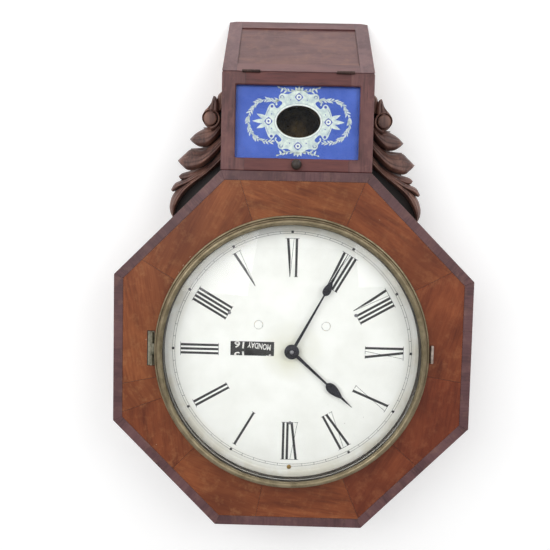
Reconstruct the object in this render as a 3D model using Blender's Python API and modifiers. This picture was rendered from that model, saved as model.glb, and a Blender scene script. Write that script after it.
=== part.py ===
"""Drop-octagon wall clock with a calendar dial: case, bezel, drop door, movement and pendulum.

Metres, +Z up.  The origin is on the wall, on the dial's axis; the clock faces -Y and
+X is on the right of someone who reads the dial.
"""
import math

import bmesh
import bpy
from mathutils import Matrix

# ---------------------------------------------------------------- driving dimensions
GAP = 0.0003

OCTAGON_FLATS = 0.432
OCTAGON_THICKNESS = 0.020
CASE_DEPTH = 0.098
BACK_THICKNESS = 0.010
HEAD_FLATS = 0.392
HEAD_WALL = 0.012
DROP_HALF_WIDTH = 0.090
DROP_SIDE_THICKNESS = 0.012
DOOR_TOP_Z = -0.2163
DOOR_BOTTOM_Z = -0.3320
DOOR_THICKNESS = 0.018
DOOR_STILE = 0.0165
DOOR_RAIL = 0.015
FOOT_TIP_Z = -0.4188
FOOT_THICKNESS = 0.014
FOOT_MEMBER = 0.017
FOOT_SINK = 0.0013

DIAL_RADIUS = 0.1575
DIAL_THICKNESS = 0.001
DIAL_HOLE_RADIUS = 0.136
DIAL_SCREW_CIRCLE = 0.089
WINDING_X = 0.041
WINDING_Z = -0.031
WINDOW_X = (0.0215, 0.0747)
WINDOW_Z = (-0.0104, 0.0071)

BEZEL_RADIUS = 0.1655
BEZEL_HEIGHT = 0.021
GLASS_RADIUS = 0.1525
GLASS_RISE = 0.014
BEZEL_AXIS_X = 0.1690
BEZEL_AXIS_Z = -0.0007

MINUTE_ANGLE = 208.3
HOUR_ANGLE = 311.9

PENDULUM_Z = 0.064
BOB_Z = -0.276
BOB_RADIUS = 0.030
PENDULUM_Y = -0.022

# planes along the depth, all measured from the wall towards the reader
FRONT_Y = -CASE_DEPTH
OCTAGON_BACK_Y = FRONT_Y + OCTAGON_THICKNESS
REBATE_Y = -0.0890
DIAL_BACK_Y = REBATE_Y - GAP
DIAL_FRONT_Y = DIAL_BACK_Y - DIAL_THICKNESS
BACK_PLATE_Y = (-0.0340, -0.0360)
FRONT_PLATE_Y = (-0.0700, -0.0720)
CALENDAR_PLATE_Y = (-0.0800, -0.0815)
DISC_Y = (-0.0872, -0.0882)

# gear centres, seen from the front
CENTRE = (0.0, 0.0)
GREAT = (WINDING_X, WINDING_Z)
STRIKE = (-WINDING_X, WINDING_Z)

# wheel teeth, pinion leaves and module of each pair
GREAT_PAIR = (32, 8, 0.0018)
SECOND_PAIR = (32, 8, 0.0015)
CENTRE_PAIR = (48, 6, 0.00105)
THIRD_PAIR = (48, 6, 0.00085)
MINUTE_PAIR = (24, 8, 0.0015)
HOUR_PAIR = (24, 6, 0.0016)
ESCAPE_TEETH = 48

PARTS = bpy.data.collections.new("drop_octagon_clock")
CUTTERS = bpy.data.collections.new("cutters")


# ---------------------------------------------------------------- materials
def finish(name, color, roughness, metallic):
    """One Principled material with the piece's colour."""
    made = bpy.data.materials.new(name)
    made.use_nodes = True
    shader = made.node_tree.nodes["Principled BSDF"]
    shader.inputs["Base Color"].default_value = (*color, 1.0)
    shader.inputs["Roughness"].default_value = roughness
    shader.inputs["Metallic"].default_value = metallic
    return made


FINISHES = {
    "mahogany": ((0.20, 0.065, 0.030), 0.40, 0.0),
    "pine": ((0.45, 0.30, 0.17), 0.75, 0.0),
    "carving": ((0.14, 0.060, 0.045), 0.55, 0.0),
    "dial_white": ((0.82, 0.80, 0.74), 0.55, 0.0),
    "black": ((0.015, 0.015, 0.016), 0.45, 0.0),
    "bezel_brass": ((0.36, 0.31, 0.19), 0.42, 0.9),
    "brass": ((0.62, 0.47, 0.20), 0.35, 1.0),
    "steel": ((0.42, 0.42, 0.43), 0.35, 1.0),
    "iron": ((0.07, 0.065, 0.06), 0.60, 0.6),
    "clear_glass": ((0.80, 0.84, 0.84), 0.05, 0.0),
    "blue_glass": ((0.06, 0.12, 0.45), 0.30, 0.0),
}


def keep(piece, name, look):
    """Names a finished piece and puts it, with a material of its own, in the clock."""
    piece.name = name
    piece.data.name = name
    for holder in list(piece.users_collection):
        holder.objects.unlink(piece)
    PARTS.objects.link(piece)
    piece.data.materials.clear()
    piece.data.materials.append(finish(name, *FINISHES[look]))
    return piece


# ---------------------------------------------------------------- shapes
def octagon(flats):
    """Corners of a regular octagon with a flat at the bottom."""
    reach = flats / 2 / math.cos(math.pi / 8)
    return [(reach * math.cos(math.pi * (0.125 + 0.25 * k)),
             reach * math.sin(math.pi * (0.125 + 0.25 * k))) for k in range(8)]


def rectangle(x_low, x_high, z_low, z_high):
    return [(x_low, z_low), (x_high, z_low), (x_high, z_high), (x_low, z_high)]


def circle(x, z, radius, sides=16):
    return [(x + radius * math.cos(2 * math.pi * k / sides),
             z + radius * math.sin(2 * math.pi * k / sides)) for k in range(sides)]


def arc(x, z, radius, start, end, steps):
    """Points of an arc, angles in degrees."""
    angles = [math.radians(start + (end - start) * k / steps) for k in range(steps + 1)]
    return [(x + radius * math.cos(a), z + radius * math.sin(a)) for a in angles]


def toothed(teeth, module, facing=0.0, gap_faces=False):
    """Outline of a wheel or pinion; a tooth, or a gap, faces the given direction in degrees."""
    pitch = 2 * math.pi / teeth
    pitch_radius = module * teeth / 2
    root = pitch_radius - 1.25 * module
    tip = pitch_radius + 0.80 * module
    start = math.radians(facing) + (pitch / 2 if gap_faces else 0.0)
    points = []
    for k in range(teeth):
        middle = start + k * pitch
        for radius, offset in ((root, -0.28), (tip, -0.11), (tip, 0.11), (root, 0.28)):
            angle = middle + offset * pitch
            points.append((radius * math.cos(angle), radius * math.sin(angle)))
    return points


def direction(start, end):
    return math.degrees(math.atan2(end[1] - start[1], end[0] - start[0]))


def flat(loops, y_back, y_front, x=0.0, z=0.0):
    """A flat outline in the dial's plane, with holes, given a thickness along the depth."""
    curve = bpy.data.curves.new("outline", "CURVE")
    curve.dimensions = "2D"
    curve.fill_mode = "BOTH"
    curve.extrude = abs(y_front - y_back) / 2
    for loop in loops:
        spline = curve.splines.new("POLY")
        spline.points.add(len(loop) - 1)
        for point, (px, pz) in zip(spline.points, loop):
            point.co = (px, pz, 0.0, 1.0)
        spline.use_cyclic_u = True
    guide = bpy.data.objects.new("outline", curve)
    bpy.context.scene.collection.objects.link(guide)
    guide.rotation_euler = (math.pi / 2, 0.0, 0.0)
    guide.location = (x, (y_back + y_front) / 2, z)
    return solid_from_curve(guide)


def solid_from_curve(guide):
    """Turns a curve object into a mesh object with its caps welded on."""
    bpy.context.view_layer.update()
    graph = bpy.context.evaluated_depsgraph_get()
    mesh = bpy.data.meshes.new_from_object(guide.evaluated_get(graph))
    work = bmesh.new()
    work.from_mesh(mesh)
    bmesh.ops.remove_doubles(work, verts=work.verts, dist=1e-6)
    bmesh.ops.recalc_face_normals(work, faces=work.faces)
    work.to_mesh(mesh)
    work.free()
    piece = bpy.data.objects.new("piece", mesh)
    piece.matrix_world = guide.matrix_world.copy()
    bpy.context.scene.collection.objects.link(piece)
    bpy.data.objects.remove(guide)
    return piece


def side_view(loop, x_low, x_high):
    """An outline of (y, z) points given a thickness along X."""
    piece = flat([loop], -(x_high - x_low) / 2, (x_high - x_low) / 2)
    piece.rotation_euler = (math.pi / 2, 0.0, math.pi / 2)
    piece.location = ((x_low + x_high) / 2, 0.0, 0.0)
    return piece


def mesh_object(work):
    mesh = bpy.data.meshes.new("piece")
    work.to_mesh(mesh)
    work.free()
    piece = bpy.data.objects.new("piece", mesh)
    bpy.context.scene.collection.objects.link(piece)
    return piece


def box(x_span, y_span, z_span):
    work = bmesh.new()
    bmesh.ops.create_cube(work, size=1.0)
    size = [abs(span[1] - span[0]) for span in (x_span, y_span, z_span)]
    bmesh.ops.scale(work, vec=size, verts=work.verts)
    piece = mesh_object(work)
    piece.location = [(span[0] + span[1]) / 2 for span in (x_span, y_span, z_span)]
    return piece


def post(radius, y_span, x=0.0, z=0.0, sides=16):
    """A cylinder along the depth."""
    work = bmesh.new()
    bmesh.ops.create_cone(work, cap_ends=True, segments=sides, radius1=radius, radius2=radius,
                          depth=abs(y_span[1] - y_span[0]))
    bmesh.ops.rotate(work, cent=(0, 0, 0), matrix=Matrix.Rotation(math.pi / 2, 3, "X"),
                     verts=work.verts)
    piece = mesh_object(work)
    piece.location = (x, (y_span[0] + y_span[1]) / 2, z)
    return piece


def bar(radius, start, end, sides=12):
    """A cylinder from one point to another."""
    work = bmesh.new()
    span = [b - a for a, b in zip(start, end)]
    length = math.sqrt(sum(s * s for s in span))
    bmesh.ops.create_cone(work, cap_ends=True, segments=sides, radius1=radius, radius2=radius,
                          depth=length)
    tilt = math.acos(span[2] / length)
    turn = math.atan2(span[1], span[0])
    piece = mesh_object(work)
    piece.location = [(a + b) / 2 for a, b in zip(start, end)]
    piece.rotation_euler = (0.0, tilt, turn)
    return piece


def turned(profile, y_origin, x=0.0, z=0.0, steps=32, closed=True):
    """A Screw turns (radius, height) points about the depth; height rises towards the reader."""
    mesh = bpy.data.meshes.new("profile")
    count = len(profile)
    edges = [(k, k + 1) for k in range(count - 1)]
    if closed:
        edges.append((count - 1, 0))
    mesh.from_pydata([(radius, 0.0, height) for radius, height in profile], edges, [])
    piece = bpy.data.objects.new("piece", mesh)
    bpy.context.scene.collection.objects.link(piece)
    screw = piece.modifiers.new("turn", "SCREW")
    screw.axis = "Z"
    screw.steps = steps
    screw.render_steps = steps
    screw.use_merge_vertices = True
    screw.merge_threshold = 0.00001
    screw.use_smooth_shade = True
    piece.rotation_euler = (math.pi / 2, 0.0, 0.0)
    piece.location = (x, y_origin, z)
    return piece


def ring_profile(inner, outer, low, high):
    """A square ring's profile, running down its outer side."""
    return [(outer, high), (outer, low), (inner, low), (inner, high)]


def combine(piece, other, operation):
    """A Boolean with the second piece as its hidden operand."""
    for holder in list(other.users_collection):
        holder.objects.unlink(other)
    CUTTERS.objects.link(other)
    other.name = "cutter"
    other.hide_render = True
    other.display_type = "WIRE"
    step = piece.modifiers.new(operation.lower(), "BOOLEAN")
    step.operation = operation
    step.solver = "EXACT"
    step.object = other
    return piece


def cut(piece, *others):
    for other in others:
        combine(piece, other, "DIFFERENCE")
    return piece


def join(piece, *others):
    for other in others:
        combine(piece, other, "UNION")
    return piece


def ease(piece, width):
    """A small bevel along the sharp edges."""
    bevel = piece.modifiers.new("eased_edges", "BEVEL")
    bevel.width = width
    bevel.segments = 1
    bevel.limit_method = "ANGLE"
    bevel.angle_limit = math.radians(50)
    return piece


def smooth(piece):
    piece.data.shade_smooth()
    return piece


# ---------------------------------------------------------------- case
def foot_line(offset, y):
    """Height of the foot's sloping face at a depth, moved inwards by an offset."""
    run = CASE_DEPTH
    fall = DOOR_BOTTOM_Z - GAP - FOOT_TIP_Z
    length = math.hypot(run, fall)
    return FOOT_TIP_Z + offset * length / run - y * fall / run


def make_case():
    shell_bottom = foot_line(FOOT_THICKNESS, -BACK_THICKNESS) + 0.0008
    inner = DROP_HALF_WIDTH - DROP_SIDE_THICKNESS
    head = octagon(HEAD_FLATS)
    # the octagon's two bottom corners give way to the drop
    drop_top = -HEAD_FLATS / 2 + (DROP_HALF_WIDTH - HEAD_FLATS / 2 * math.tan(math.pi / 8))
    drop = [(-DROP_HALF_WIDTH, drop_top), (-DROP_HALF_WIDTH, shell_bottom),
            (DROP_HALF_WIDTH, shell_bottom), (DROP_HALF_WIDTH, drop_top)]
    board_outline = head[:5] + drop + head[7:]
    board = flat([board_outline], 0.0, -BACK_THICKNESS)
    hanger_z = 0.160
    cut(board,
        box((-0.0203, 0.0203), (-0.0026, 0.001), (hanger_z - 0.0303, hanger_z + 0.0303)),
        box((-0.009, 0.009), (-0.0070, -0.0020), (hanger_z - 0.018, hanger_z + 0.020)))
    keep(board, "back_board", "pine")

    keyhole = arc(0.0, hanger_z - 0.008, 0.0060, 120, 420, 14)
    slot = arc(0.0, hanger_z + 0.012, 0.0030, 0, 180, 6)
    plate = flat([rectangle(-0.020, 0.020, hanger_z - 0.030, hanger_z + 0.030), keyhole + slot],
                 -0.0003, -0.0023)
    keep(plate, "hanger_plate", "iron")

    wall = octagon(HEAD_FLATS - 2 * HEAD_WALL)
    ring = flat([head, wall], -BACK_THICKNESS - GAP, OCTAGON_BACK_Y + GAP)
    cut(ring, box((-DROP_HALF_WIDTH - GAP, DROP_HALF_WIDTH + GAP), (-0.2, 0.1), (-0.250, -0.150)))
    keep(ring, "head_ring", "pine")

    front = flat([octagon(OCTAGON_FLATS), circle(0.0, 0.0, DIAL_HOLE_RADIUS, 44)],
                 OCTAGON_BACK_Y, FRONT_Y)
    ease(front, 0.0010)
    hinge_seat = box((BEZEL_AXIS_X - 0.0033, BEZEL_AXIS_X + 0.0053), (FRONT_Y + 0.0013, FRONT_Y - 0.01),
                     (BEZEL_AXIS_Z - 0.0208, BEZEL_AXIS_Z + 0.0208))
    cut(front, post(DIAL_RADIUS + 0.0006, (REBATE_Y, FRONT_Y - 0.01), sides=64),
        post(0.0013, (REBATE_Y - 0.01, REBATE_Y + 0.009), 0.0, 0.144, 8), hinge_seat)
    keep(front, "octagon_front", "mahogany")

    for side, word in ((-1, "left"), (1, "right")):
        door_back = FRONT_Y + DOOR_THICKNESS + GAP
        ring_front = OCTAGON_BACK_Y + GAP
        rear = -BACK_THICKNESS - GAP
        loop = [(rear, -0.1680), (ring_front, -0.1680), (ring_front, DOOR_TOP_Z), (door_back, DOOR_TOP_Z),
                (door_back, foot_line(FOOT_THICKNESS + GAP, door_back)),
                (rear, foot_line(FOOT_THICKNESS + GAP, rear))]
        low, high = sorted((side * inner, side * DROP_HALF_WIDTH))
        keep(side_view(loop, low, high), "drop_side_" + word, "mahogany")
        make_ear(side, word)
        block = box(sorted((side * 0.050, side * 0.074)), (BACK_PLATE_Y[0] + GAP, rear),
                    (-0.066, 0.060))
        keep(block, "movement_block_" + word, "pine")


def make_foot():
    """Sloping foot: a mitred frame with a sunk panel let into its back."""
    fall = DOOR_BOTTOM_Z - GAP - FOOT_TIP_Z
    length = math.hypot(CASE_DEPTH, fall)
    tilt = math.atan2(fall, CASE_DEPTH)
    top = DOOR_BOTTOM_Z - GAP
    rear_top = -(foot_line(0.0, -CASE_DEPTH) - foot_line(FOOT_THICKNESS, 0.0)) * CASE_DEPTH / fall
    loop = [(FRONT_Y, top), (0.0, FOOT_TIP_Z), (0.0, foot_line(FOOT_THICKNESS, 0.0)), (rear_top, top)]
    frame = side_view(loop, -DROP_HALF_WIDTH, DROP_HALF_WIDTH)
    ease(frame, 0.0010)

    half_w = DROP_HALF_WIDTH - FOOT_MEMBER
    half_l = length / 2 - FOOT_MEMBER - 0.001
    middle = ((FRONT_Y + 0.0) / 2, (top + FOOT_TIP_Z) / 2)

    def slab(width, reach, outer, inner):
        """A box lying on the slope, its depth measured from the face inwards."""
        piece = box((-width, width), (-reach, reach), (outer, inner))
        work_depth = (outer + inner) / 2
        piece.rotation_euler = (-tilt, 0.0, 0.0)
        piece.location = (0.0, middle[0] + work_depth * math.sin(tilt),
                          middle[1] + work_depth * math.cos(tilt))
        return piece

    hinge_seats = [box((x - 0.0108, x + 0.0108), (FRONT_Y - 0.002, FRONT_Y + 0.0145),
                       (top - 0.0013, top + 0.002)) for x in (-0.0555, 0.0555)]
    below = FOOT_TIP_Z - 0.002

    def corner_clip(side):
        """The sliver taken off one corner of the worn tip."""
        inner = side * (DROP_HALF_WIDTH - 0.010)
        outer = side * (DROP_HALF_WIDTH + 0.001)
        corners = [(inner, FOOT_TIP_Z + 0.0004), (outer, FOOT_TIP_Z + 0.0027), (outer, below), (inner, below)]
        return flat([corners[::side]], 0.002, -0.010)

    chip = flat([[(-0.0017, below), (0.0017, below), (0.0, FOOT_TIP_Z + 0.0018)]], 0.002, -0.010)
    cut(frame, slab(half_w, half_l, -0.004, 0.020), slab(half_w + 0.005, half_l + 0.005, FOOT_SINK, 0.030),
        corner_clip(-1), corner_clip(1), chip, *hinge_seats)
    keep(frame, "chisel_frame", "mahogany")
    panel = slab(half_w + 0.0047, half_l + 0.0047, FOOT_SINK + GAP, FOOT_SINK + 0.0045)
    keep(panel, "chisel_panel", "mahogany")


def make_ear(side, word):
    """Carved ear: a volute at the bottom and leaves climbing to the octagon."""
    edge = DROP_HALF_WIDTH + GAP
    diagonal = HEAD_FLATS / 2 * math.sqrt(2) + GAP * 2
    volute = (0.1050, -0.2785)
    loop = [(edge, -0.3150), (0.0965, -0.3120), (0.1030, -0.3030)]
    loop += arc(*volute, 0.0120, -75, 35, 7)
    loop += [(0.1145, -0.2660), (0.1225, -0.2640), (0.1310, -0.2525), (0.1285, -0.2420),
             (0.1385, -0.2360), (0.1457, -0.2246), (0.1445, -0.2070), (0.1510, -0.2010),
             (0.1539, -0.1902), (0.1558, -0.1720), (0.1535, -0.1560)]
    loop += [(0.1400, 0.1400 - diagonal), (edge, edge - diagonal)]
    if side < 0:
        loop = [(-x, z) for x, z in reversed(loop)]
    ear = flat([loop], -0.0500, OCTAGON_BACK_Y + GAP)
    ease(ear, 0.0012)
    keep(ear, "ear_" + word, "carving")


# ---------------------------------------------------------------- dial and calendar
def screw_places():
    return {"top": 90.0, "right": -30.5, "left": 210.5}


def make_dial():
    holes = [circle(0.0, 0.0, 0.0052, 20),
             rectangle(*WINDOW_X, *WINDOW_Z),
             circle(0.0, 0.144, 0.0013, 8)]
    for side in (-1, 1):
        holes.append(circle(side * WINDING_X, WINDING_Z, 0.0055, 20))
    places = [(DIAL_SCREW_CIRCLE * math.cos(math.radians(a)), DIAL_SCREW_CIRCLE * math.sin(math.radians(a)))
              for a in screw_places().values()]
    holes += [circle(x, z, 0.0015, 8) for x, z in places]
    dial = flat([circle(0.0, 0.0, DIAL_RADIUS, 56)] + holes, DIAL_BACK_Y, DIAL_FRONT_Y)
    keep(dial, "dial_plate", "dial_white")

    pin_profile = [(0.0, 0.0012), (0.0019, 0.0009), (0.0028, 0.0), (0.0010, 0.0), (0.0010, -0.0070),
                   (0.0, -0.0070)]
    pin = turned(pin_profile, DIAL_FRONT_Y - GAP, 0.0, 0.144, 12, closed=False)
    keep(pin, "dial_pin", "brass")

    screw_profile = [(0.0, 0.0009), (0.0016, 0.0008), (0.0021, 0.0), (0.0011, 0.0), (0.0011, -0.0078),
                     (0.0, -0.0078)]
    for (word, _), (x, z) in zip(screw_places().items(), places):
        screw = turned(screw_profile, DIAL_FRONT_Y - GAP, x, z, 12, closed=False)
        cut(screw, box((x - 0.003, x + 0.003), (DIAL_FRONT_Y - 0.003, DIAL_FRONT_Y - GAP - 0.0004),
                       (z - 0.0003, z + 0.0003)))
        keep(screw, "dial_screw_" + word, "steel")

    for side, word in ((-1, "left"), (1, "right")):
        profile = [(0.0, 0.0004), (0.0046, 0.0004), (0.0051, 0.0), (0.0051, -0.0008), (0.0, -0.0008)]
        plug = turned(profile, DIAL_FRONT_Y, side * WINDING_X, WINDING_Z, 20, closed=False)
        keep(plug, "winding_plug_" + word, "dial_white")

    back, front = CALENDAR_PLATE_Y
    plate = flat([circle(0.0, 0.0, 0.0975, 36), circle(0.0, 0.0, 0.0040, 12),
                  circle(WINDING_X, WINDING_Z, 0.0070, 12), circle(-WINDING_X, WINDING_Z, 0.0070, 12)],
                 back, front)
    rise = -(back + front) / 2
    tube = turned(ring_profile(0.0037, 0.0047, rise, 0.0866), 0.0, steps=16)
    rim = turned(ring_profile(0.0592, 0.0608, rise, 0.0862), 0.0, steps=32)
    join(plate, tube, rim)
    for x, z in places:
        join(plate, post(0.0032, (back - 0.0005, DIAL_BACK_Y + GAP), x, z, 8))
        cut(plate, post(0.0014, (back - 0.0004, DIAL_BACK_Y - 0.001), x, z, 8))
    keep(plate, "calendar_plate", "black")

    keep(make_day_disc(), "day_disc", "black")

    low, high = -DISC_Y[0], -DISC_Y[1]
    ring = turned([(0.0780, high), (0.0780, low), (0.0632, low), (0.0632, 0.0830), (0.0618, 0.0830),
                   (0.0618, low), (0.0568, low), (0.0568, high)], 0.0, steps=40)
    keep(ring, "date_ring", "black")


def make_day_disc():
    """Room for seven day names twice round, with a notch for the key between neighbours."""
    count = 14
    rim = 0.0555
    reach = math.hypot(WINDING_X, WINDING_Z)
    key = 0.0055
    half = math.degrees(math.acos((rim ** 2 + reach ** 2 - key ** 2) / (2 * rim * reach)))
    part_way = 8.0
    first = math.degrees(math.atan2(WINDING_Z, WINDING_X)) - part_way
    outline = []
    for k in range(count):
        middle = first + 360.0 / count * k
        centre = arc(0.0, 0.0, reach, middle, middle, 1)[0]
        outline += arc(0.0, 0.0, rim, middle - half, middle - half, 1)[:1]
        outline += arc(*centre, key, middle - 90, middle - 270, 5)
        outline += arc(0.0, 0.0, rim, middle + half, middle + half + 360.0 / count / 3, 1)
    disc = flat([outline, circle(0.0, 0.0, 0.0055, 16)], *DISC_Y)
    return join(disc, turned(ring_profile(0.0050, 0.0064, 0.0823, 0.0877), 0.0, steps=16))


# ---------------------------------------------------------------- bezel
def make_bezel():
    base = -(FRONT_Y - GAP)
    top = base + BEZEL_HEIGHT
    profile = [(0.1525, top - 0.0008), (0.1560, top), (0.1592, top - 0.0022), (0.1600, top - 0.0060),
               (0.1612, top - 0.0062), (0.1640, top - 0.0080), (BEZEL_RADIUS, top - 0.0120),
               (BEZEL_RADIUS, base), (0.1580, base), (0.1580, top - 0.0080), (0.1500, top - 0.0055),
               (0.1500, top - 0.0030)]
    keep(turned(profile, 0.0, steps=48), "bezel_ring", "bezel_brass")

    edge = top - 0.0068
    thickness = 0.0020
    sphere = (GLASS_RADIUS ** 2 + GLASS_RISE ** 2) / (2 * GLASS_RISE)
    outer = []
    count = 4
    for k in range(count + 1):
        radius = GLASS_RADIUS * k / count
        outer.append((radius, edge + GLASS_RISE - sphere + math.sqrt(sphere ** 2 - radius ** 2)))
    inner = [(radius, height - thickness) for radius, height in reversed(outer)]
    keep(turned(outer + inner, 0.0, steps=36, closed=False), "dial_glass", "clear_glass")

    make_bezel_hinge()

    tab = box((-0.1692, -0.1658), (-base - 0.0072, -base - 0.0012), (-0.0125, 0.0090))
    keep(ease(tab, 0.0006), "bezel_tab", "steel")


def make_bezel_hinge():
    """The fixed leaf carries the pin and two knuckles; the bezel's leaf turns between them."""
    x, z = BEZEL_AXIS_X, BEZEL_AXIS_Z
    y = FRONT_Y - 0.0034
    plate = box((x - 0.0030, x + 0.0050), (FRONT_Y + 0.0010, FRONT_Y - 0.0006), (z - 0.0205, z + 0.0205))
    for low, high in ((-0.0200, -0.0070), (0.0070, 0.0200)):
        join(plate, bar(0.0021, (x, y, z + low), (x, y, z + high), 12),
             box((x - 0.0008, x + 0.0020), (FRONT_Y - 0.0004, y), (z + low, z + high)))
    join(plate, bar(0.0009, (x, y, z - 0.0190), (x, y, z + 0.0190), 8))
    keep(plate, "bezel_hinge_plate", "brass")

    leaf = bar(0.0021, (x, y, z - 0.0066), (x, y, z + 0.0066), 12)
    join(leaf, box((x - 0.0024, x), (y - 0.0019, y - 0.0009), (z - 0.0064, z + 0.0064)),
         box((x - 0.0030, x - 0.0017), (y - 0.0019, y + 0.0014), (z - 0.0064, z + 0.0064)))
    cut(leaf, bar(0.0013, (x, y, z - 0.02), (x, y, z + 0.02), 8))
    keep(leaf, "bezel_leaf", "brass")


# ---------------------------------------------------------------- drop door
def make_door():
    top, bottom = DOOR_TOP_Z, DOOR_BOTTOM_Z
    half = DROP_HALF_WIDTH
    back = FRONT_Y + DOOR_THICKNESS
    glass_x = half - DOOR_STILE
    glass_z = (bottom + DOOR_RAIL, top - DOOR_RAIL)
    rebate = 0.0045
    frame = flat([rectangle(-half, half, bottom, top), rectangle(-glass_x, glass_x, *glass_z)],
                 back, FRONT_Y)
    ease(frame, 0.0010)
    cut(frame, box((-glass_x - rebate, glass_x + rebate), (FRONT_Y + 0.0060, back + 0.002),
                   (glass_z[0] - rebate, glass_z[1] + rebate)))
    for x in (-0.0555, 0.0555):
        cut(frame, box((x - 0.0108, x + 0.0108), (FRONT_Y - 0.002, FRONT_Y + 0.0145),
                       (bottom - 0.002, bottom + 0.0013)))
    cut(frame, post(0.0022, (FRONT_Y + 0.0120, FRONT_Y - 0.003), 0.0, top - DOOR_RAIL / 2, 10))
    keep(frame, "door_frame", "mahogany")

    fit = rebate - GAP
    tablet = box((-glass_x - fit, glass_x + fit), (FRONT_Y + 0.0063, FRONT_Y + 0.0088),
                 (glass_z[0] - fit, glass_z[1] + fit))
    keep(tablet, "tablet_glass", "blue_glass")
    bead = flat([rectangle(-glass_x - fit, glass_x + fit, glass_z[0] - fit, glass_z[1] + fit),
                 rectangle(-glass_x - 0.0005, glass_x + 0.0005, glass_z[0] - 0.0005, glass_z[1] + 0.0005)],
                FRONT_Y + 0.0091, FRONT_Y + 0.0135)
    keep(bead, "tablet_bead", "pine")

    knob = turned([(0.0, 0.0100), (0.0040, 0.0094), (0.0062, 0.0070), (0.0060, 0.0048), (0.0036, 0.0026),
                   (0.0042, 0.0003), (0.0018, 0.0003), (0.0018, -0.0110), (0.0, -0.0110)],
                  FRONT_Y, 0.0, top - DOOR_RAIL / 2, 16, closed=False)
    keep(knob, "door_knob", "black")

    axis_y = FRONT_Y - 0.0020
    axis_z = bottom - GAP / 2
    for centre, word in ((-0.0555, "left"), (0.0555, "right")):
        leaf = box((centre - 0.0105, centre + 0.0105), (FRONT_Y + 0.0140, FRONT_Y + 0.0002),
                   (axis_z + 0.0003, axis_z + 0.0012))
        join(leaf, bar(0.0016, (centre - 0.0036, axis_y, axis_z), (centre + 0.0036, axis_y, axis_z), 12),
             box((centre - 0.0035, centre + 0.0035), (FRONT_Y + 0.0010, axis_y),
                 (axis_z + 0.0003, axis_z + 0.0011)))
        cut(leaf, bar(0.0011, (centre - 0.02, axis_y, axis_z), (centre + 0.02, axis_y, axis_z), 8))
        keep(leaf, "door_leaf_" + word, "brass")

        fixed = box((centre - 0.0105, centre + 0.0105), (FRONT_Y + 0.0140, FRONT_Y + 0.0002),
                    (axis_z - 0.0012, axis_z - 0.0003))
        for low, high in ((-0.0105, -0.0039), (0.0039, 0.0105)):
            join(fixed, bar(0.0016, (centre + low, axis_y, axis_z), (centre + high, axis_y, axis_z), 12),
                 box((centre + low, centre + high), (FRONT_Y + 0.0010, axis_y),
                     (axis_z - 0.0011, axis_z - 0.0003)))
        join(fixed, bar(0.0007, (centre - 0.0100, axis_y, axis_z), (centre + 0.0100, axis_y, axis_z), 8))
        keep(fixed, "case_leaf_" + word, "brass")


# ---------------------------------------------------------------- movement
def third_point(a, reach_a, b, reach_b, side):
    """The point at given distances from two others."""
    dx, dz = b[0] - a[0], b[1] - a[1]
    span = math.hypot(dx, dz)
    along = (reach_a ** 2 - reach_b ** 2 + span ** 2) / (2 * span)
    off = math.sqrt(reach_a ** 2 - along ** 2) * side
    return (a[0] + (dx * along - dz * off) / span, a[1] + (dz * along + dx * off) / span)


def reach_of(pair):
    """Distance between the arbors of a wheel and its pinion."""
    teeth, leaves, module = pair
    return (teeth + leaves) * module / 2


SECOND = third_point(CENTRE, reach_of(SECOND_PAIR), GREAT, reach_of(GREAT_PAIR), 1)
THIRD = arc(*CENTRE, reach_of(CENTRE_PAIR), 125, 125, 1)[0]
ESCAPE = (0.0, THIRD[1] + math.sqrt(reach_of(THIRD_PAIR) ** 2 - THIRD[0] ** 2))
MINUTE = (0.0, -reach_of(MINUTE_PAIR))
VERGE = (0.0, PENDULUM_Z)


def wheel(pair, facing, y_span, place, bore=None, crossings=4):
    """A toothed wheel, crossed out and, where it turns on a pipe, bored."""
    teeth, _, module = pair
    loops = [toothed(teeth, module, facing)]
    if bore:
        loops.append(circle(0.0, 0.0, bore, 16))
    rim = teeth * module / 2 - 2.5 * module - 0.0020
    for k in range(crossings):
        start = 360.0 / crossings * k + 12
        end = 360.0 / crossings * (k + 1) - 12
        loops.append(arc(0, 0, rim, start, end, 3) + arc(0, 0, 0.0075, end - 8, start + 8, 1))
    return flat(loops, *y_span, *place)


def pinion(pair, facing, y_span, place):
    _, leaves, module = pair
    return flat([toothed(leaves, module, facing, gap_faces=True)], *y_span, *place)


def make_plates():
    back, front = BACK_PLATE_Y, FRONT_PLATE_Y
    outline = rectangle(-0.0760, 0.0760, -0.0680, 0.0740)
    corners = [(x, z) for x in (-0.0690, 0.0690) for z in (-0.0620, 0.0680)]
    front_holes = [circle(*GREAT, 0.0036), circle(*STRIKE, 0.0036), circle(*CENTRE, 0.0033),
                   circle(*SECOND, 0.0013, 10), circle(*THIRD, 0.0013, 10), circle(*ESCAPE, 0.0013, 10),
                   circle(*VERGE, 0.0013, 10), circle(*MINUTE, 0.0013, 10)]
    plate = flat([outline] + front_holes + [circle(*c, 0.0018, 10) for c in corners], *front)
    keep(plate, "movement_front_plate", "brass")

    back_holes = [circle(*GREAT, 0.0028, 12), circle(*STRIKE, 0.0028, 12), circle(*CENTRE, 0.0018, 10),
                  circle(*SECOND, 0.0013, 10), circle(*THIRD, 0.0013, 10), circle(*ESCAPE, 0.0013, 10),
                  circle(*VERGE, 0.0018, 10)]
    plate = flat([outline] + back_holes, *back)
    root, shoulder, end = -back[0] + 0.0009, -front[0] - GAP, -front[1] + 0.0020
    pillar = [(0.0, end), (0.0015, end), (0.0015, shoulder), (0.0030, shoulder), (0.0030, root), (0.0, root)]
    for corner in corners:
        join(plate, turned(pillar, 0.0, *corner, steps=10, closed=False))
    hammer_stud = (-0.0300, -0.0520)
    join(plate, post(0.0012, (back[0] - 0.001, -0.0170), *hammer_stud, 10))
    keep(plate, "movement_back_plate", "brass")
    return hammer_stud


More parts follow.
